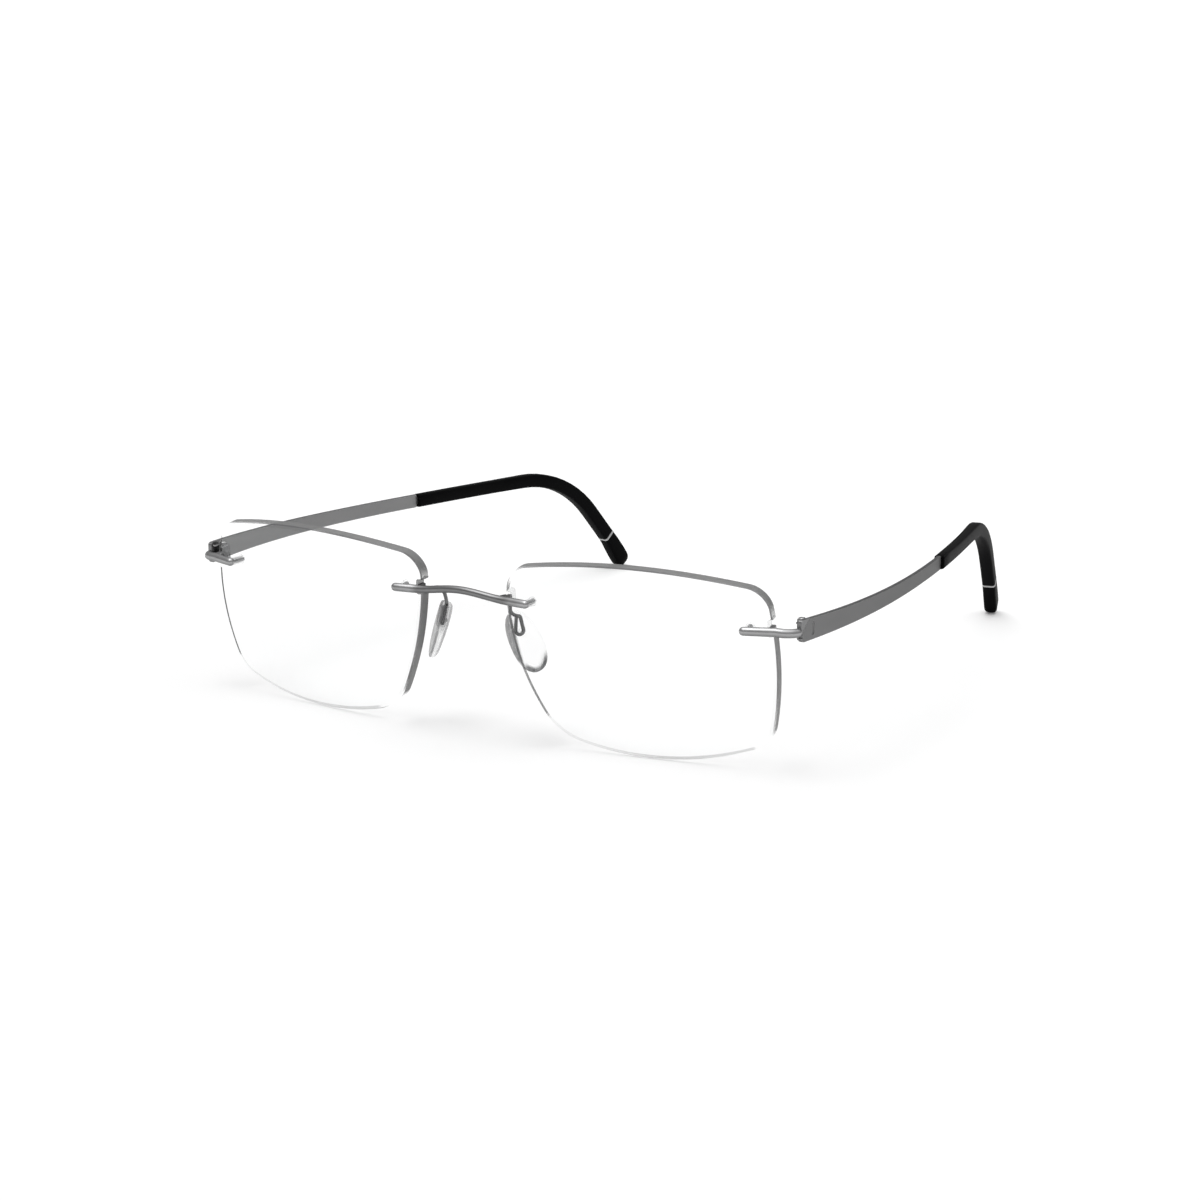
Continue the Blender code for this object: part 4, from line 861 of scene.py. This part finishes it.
def lens_looks(node, bevel_keep, line_keep, turn, low, spread, notch_tone, notch_keep):
    """Materials of one lens, in slot order.

    bevel_keep and line_keep are the strengths towards -X, up to turn degrees. On the underside
    the grey returns over the spread degrees before low.
    """
    def underside(side_keep, strength):
        return ((-180, side_keep), (turn, side_keep), (turn + 7, 0.22 * strength),
                (-112, 0.22 * strength), (-98, 0.32 * strength), (-90, 0.58 * strength),
                (-74, 0.5 * strength), (-66, 0.0))

    front = lens_rim("look_rim_front_" + node, underside(bevel_keep, strength=1.0) + (
        (low - spread, 0.0), (low + 1, 0.9), (100, 0.9), (122, 0.5), (138, 0.0), (150, 0.0),
        (162, 0.8 * bevel_keep), (180, bevel_keep)))
    line = lens_rim("look_rim_line_" + node, underside(line_keep, strength=0.62) + (
        (low - spread, 0.0), (low + 1, 0.05), (40, 0.05), (60, 0.0), (150, 0.0),
        (162, 0.8 * line_keep), (180, line_keep)), stored_way=True)
    back = lens_rim("look_rim_back_" + node, (
        (-180, 0.8), (-140, 0.8), (-120, 0.25), (-50, 0.25), (low + 1, 0.9), (95, 0.9),
        (180, 0.8)))
    wall = lens_wall("look_wall_" + node, low, spread)
    milled = milled_wall("look_notch_wall_" + node, notch_tone, notch_keep)
    return [face_look, wall, front, back, milled, line, hole_look]


face_look = lens_face()
hole_look = milled_wall("look_hole_wall", tone=0.45, keep=0.05)
# painted light: the left lens's notch walls are a light, faint grey for the glow above its bars;
# the right lens's are dark and nearly solid, like its wall
build_lens("lens_left", 1, lens_looks(
    "lens_left", bevel_keep=1.0, line_keep=0.78, turn=-150, low=-13, spread=17,
    notch_tone=0.40, notch_keep=0.26))
build_lens("lens_right", -1, lens_looks(
    "lens_right", bevel_keep=0.9, line_keep=1.0, turn=-160, low=-36, spread=8,
    notch_tone=0.15, notch_keep=0.75))


# ---------------------------------------------------------------- floor, light, camera
def make_floor():
    bm = bmesh.new()
    bmesh.ops.create_circle(bm, cap_ends=True, segments=96, radius=40.0)
    mesh = bpy.data.meshes.new("floor")
    bm.to_mesh(mesh)
    bm.free()
    ob = bpy.data.objects.new("floor", mesh)
    scene.collection.objects.link(ob)
    m = new_material("look_floor")
    tone = m.vary(m.noise(m.coord(), scale=900.0), by=0.004, base=0.955)
    diffuse = m.fill(m.node("ShaderNodeBsdfDiffuse"), Color=m.grey(tone))
    # a little glow towards the back lifts the shadows of the temple tips
    painted_glow = m.fade(m.object_axis(Y), start=-0.02, end=0.05, before=0.0, after=0.085)
    lift = m.fill(m.node("ShaderNodeEmission"), Strength=painted_glow)
    both = m.node("ShaderNodeAddShader")
    m.put(both.inputs[0], diffuse.outputs[0])
    m.put(both.inputs[1], lift.outputs[0])
    mesh.materials.append(m.done(both.outputs[0]))
    ob.location.z = min(CAD_LO.z, 0.0) - 0.00002      # just clear of the tips


def make_world():
    """Studio room, brighter overhead; seen directly it is a plain white sweep."""
    scene.world = bpy.data.worlds.new("studio")
    w = Nodes(scene.world, output="ShaderNodeOutputWorld")
    height = w.split(w.node("ShaderNodeTexCoord").outputs["Generated"])[Z]
    brightness = w.ramp(height, ease="EASE", stops=(
        (0.0, 0.37), (0.3, 0.35), (0.55, 0.43), (0.7, 0.68), (0.85, 1.33), (1.0, 1.48)))
    room = w.fill(w.node("ShaderNodeBackground"), Color=brightness, Strength=1.0)
    plain = w.fill(w.node("ShaderNodeBackground"), Color=(1.0, 1.0, 1.0))
    seen = w.node("ShaderNodeLightPath").outputs["Is Camera Ray"]
    w.done(w.mix_shader(seen, room.outputs[0], plain.outputs[0]))


def direction(azimuth, elevation):
    """Unit vector from the glasses, in degrees: azimuth from -Y towards +X, elevation up."""
    az, el = math.radians(azimuth), math.radians(elevation)
    return Vector((math.sin(az) * math.cos(el), -math.cos(az) * math.cos(el), math.sin(el)))


def make_sun():
    """A very broad overhead lamp, as soft as a ceiling of studio boxes."""
    light = bpy.data.lights.new("soft_key", "SUN")
    light.energy = 0.76
    light.angle = math.radians(34)
    ob = bpy.data.objects.new("soft_key", light)
    scene.collection.objects.link(ob)
    towards = direction(azimuth=-25, elevation=74)
    ob.rotation_mode = "QUATERNION"
    ob.rotation_quaternion = (-towards).to_track_quat("-Z", "Y")
    ob.location = towards * 2.0


def make_camera():
    back = direction(azimuth=29.199, elevation=13.215)
    roll = math.radians(0.305)
    level = Vector((0, 0, 1)).cross(back).normalized()
    upright = back.cross(level)
    right = level * math.cos(roll) + upright * math.sin(roll)
    up = -level * math.sin(roll) + upright * math.cos(roll)
    camera = bpy.data.cameras.new("camera")
    camera.sensor_width = 36.0
    camera.lens = 86.3415
    camera.clip_start = 0.01
    camera.clip_end = 200.0
    camera.shift_x = -0.00041667
    camera.shift_y = 0.00041667
    ob = bpy.data.objects.new("camera", camera)
    scene.collection.objects.link(ob)
    pose = Matrix((right, up, back)).transposed().to_4x4()
    pose.translation = Vector((0.279423, -0.521046, 0.150796))
    ob.matrix_world = pose
    scene.camera = ob


make_floor()
make_world()
make_sun()
make_camera()
scene.view_settings.view_transform = "Standard"
scene.view_settings.look = "None"
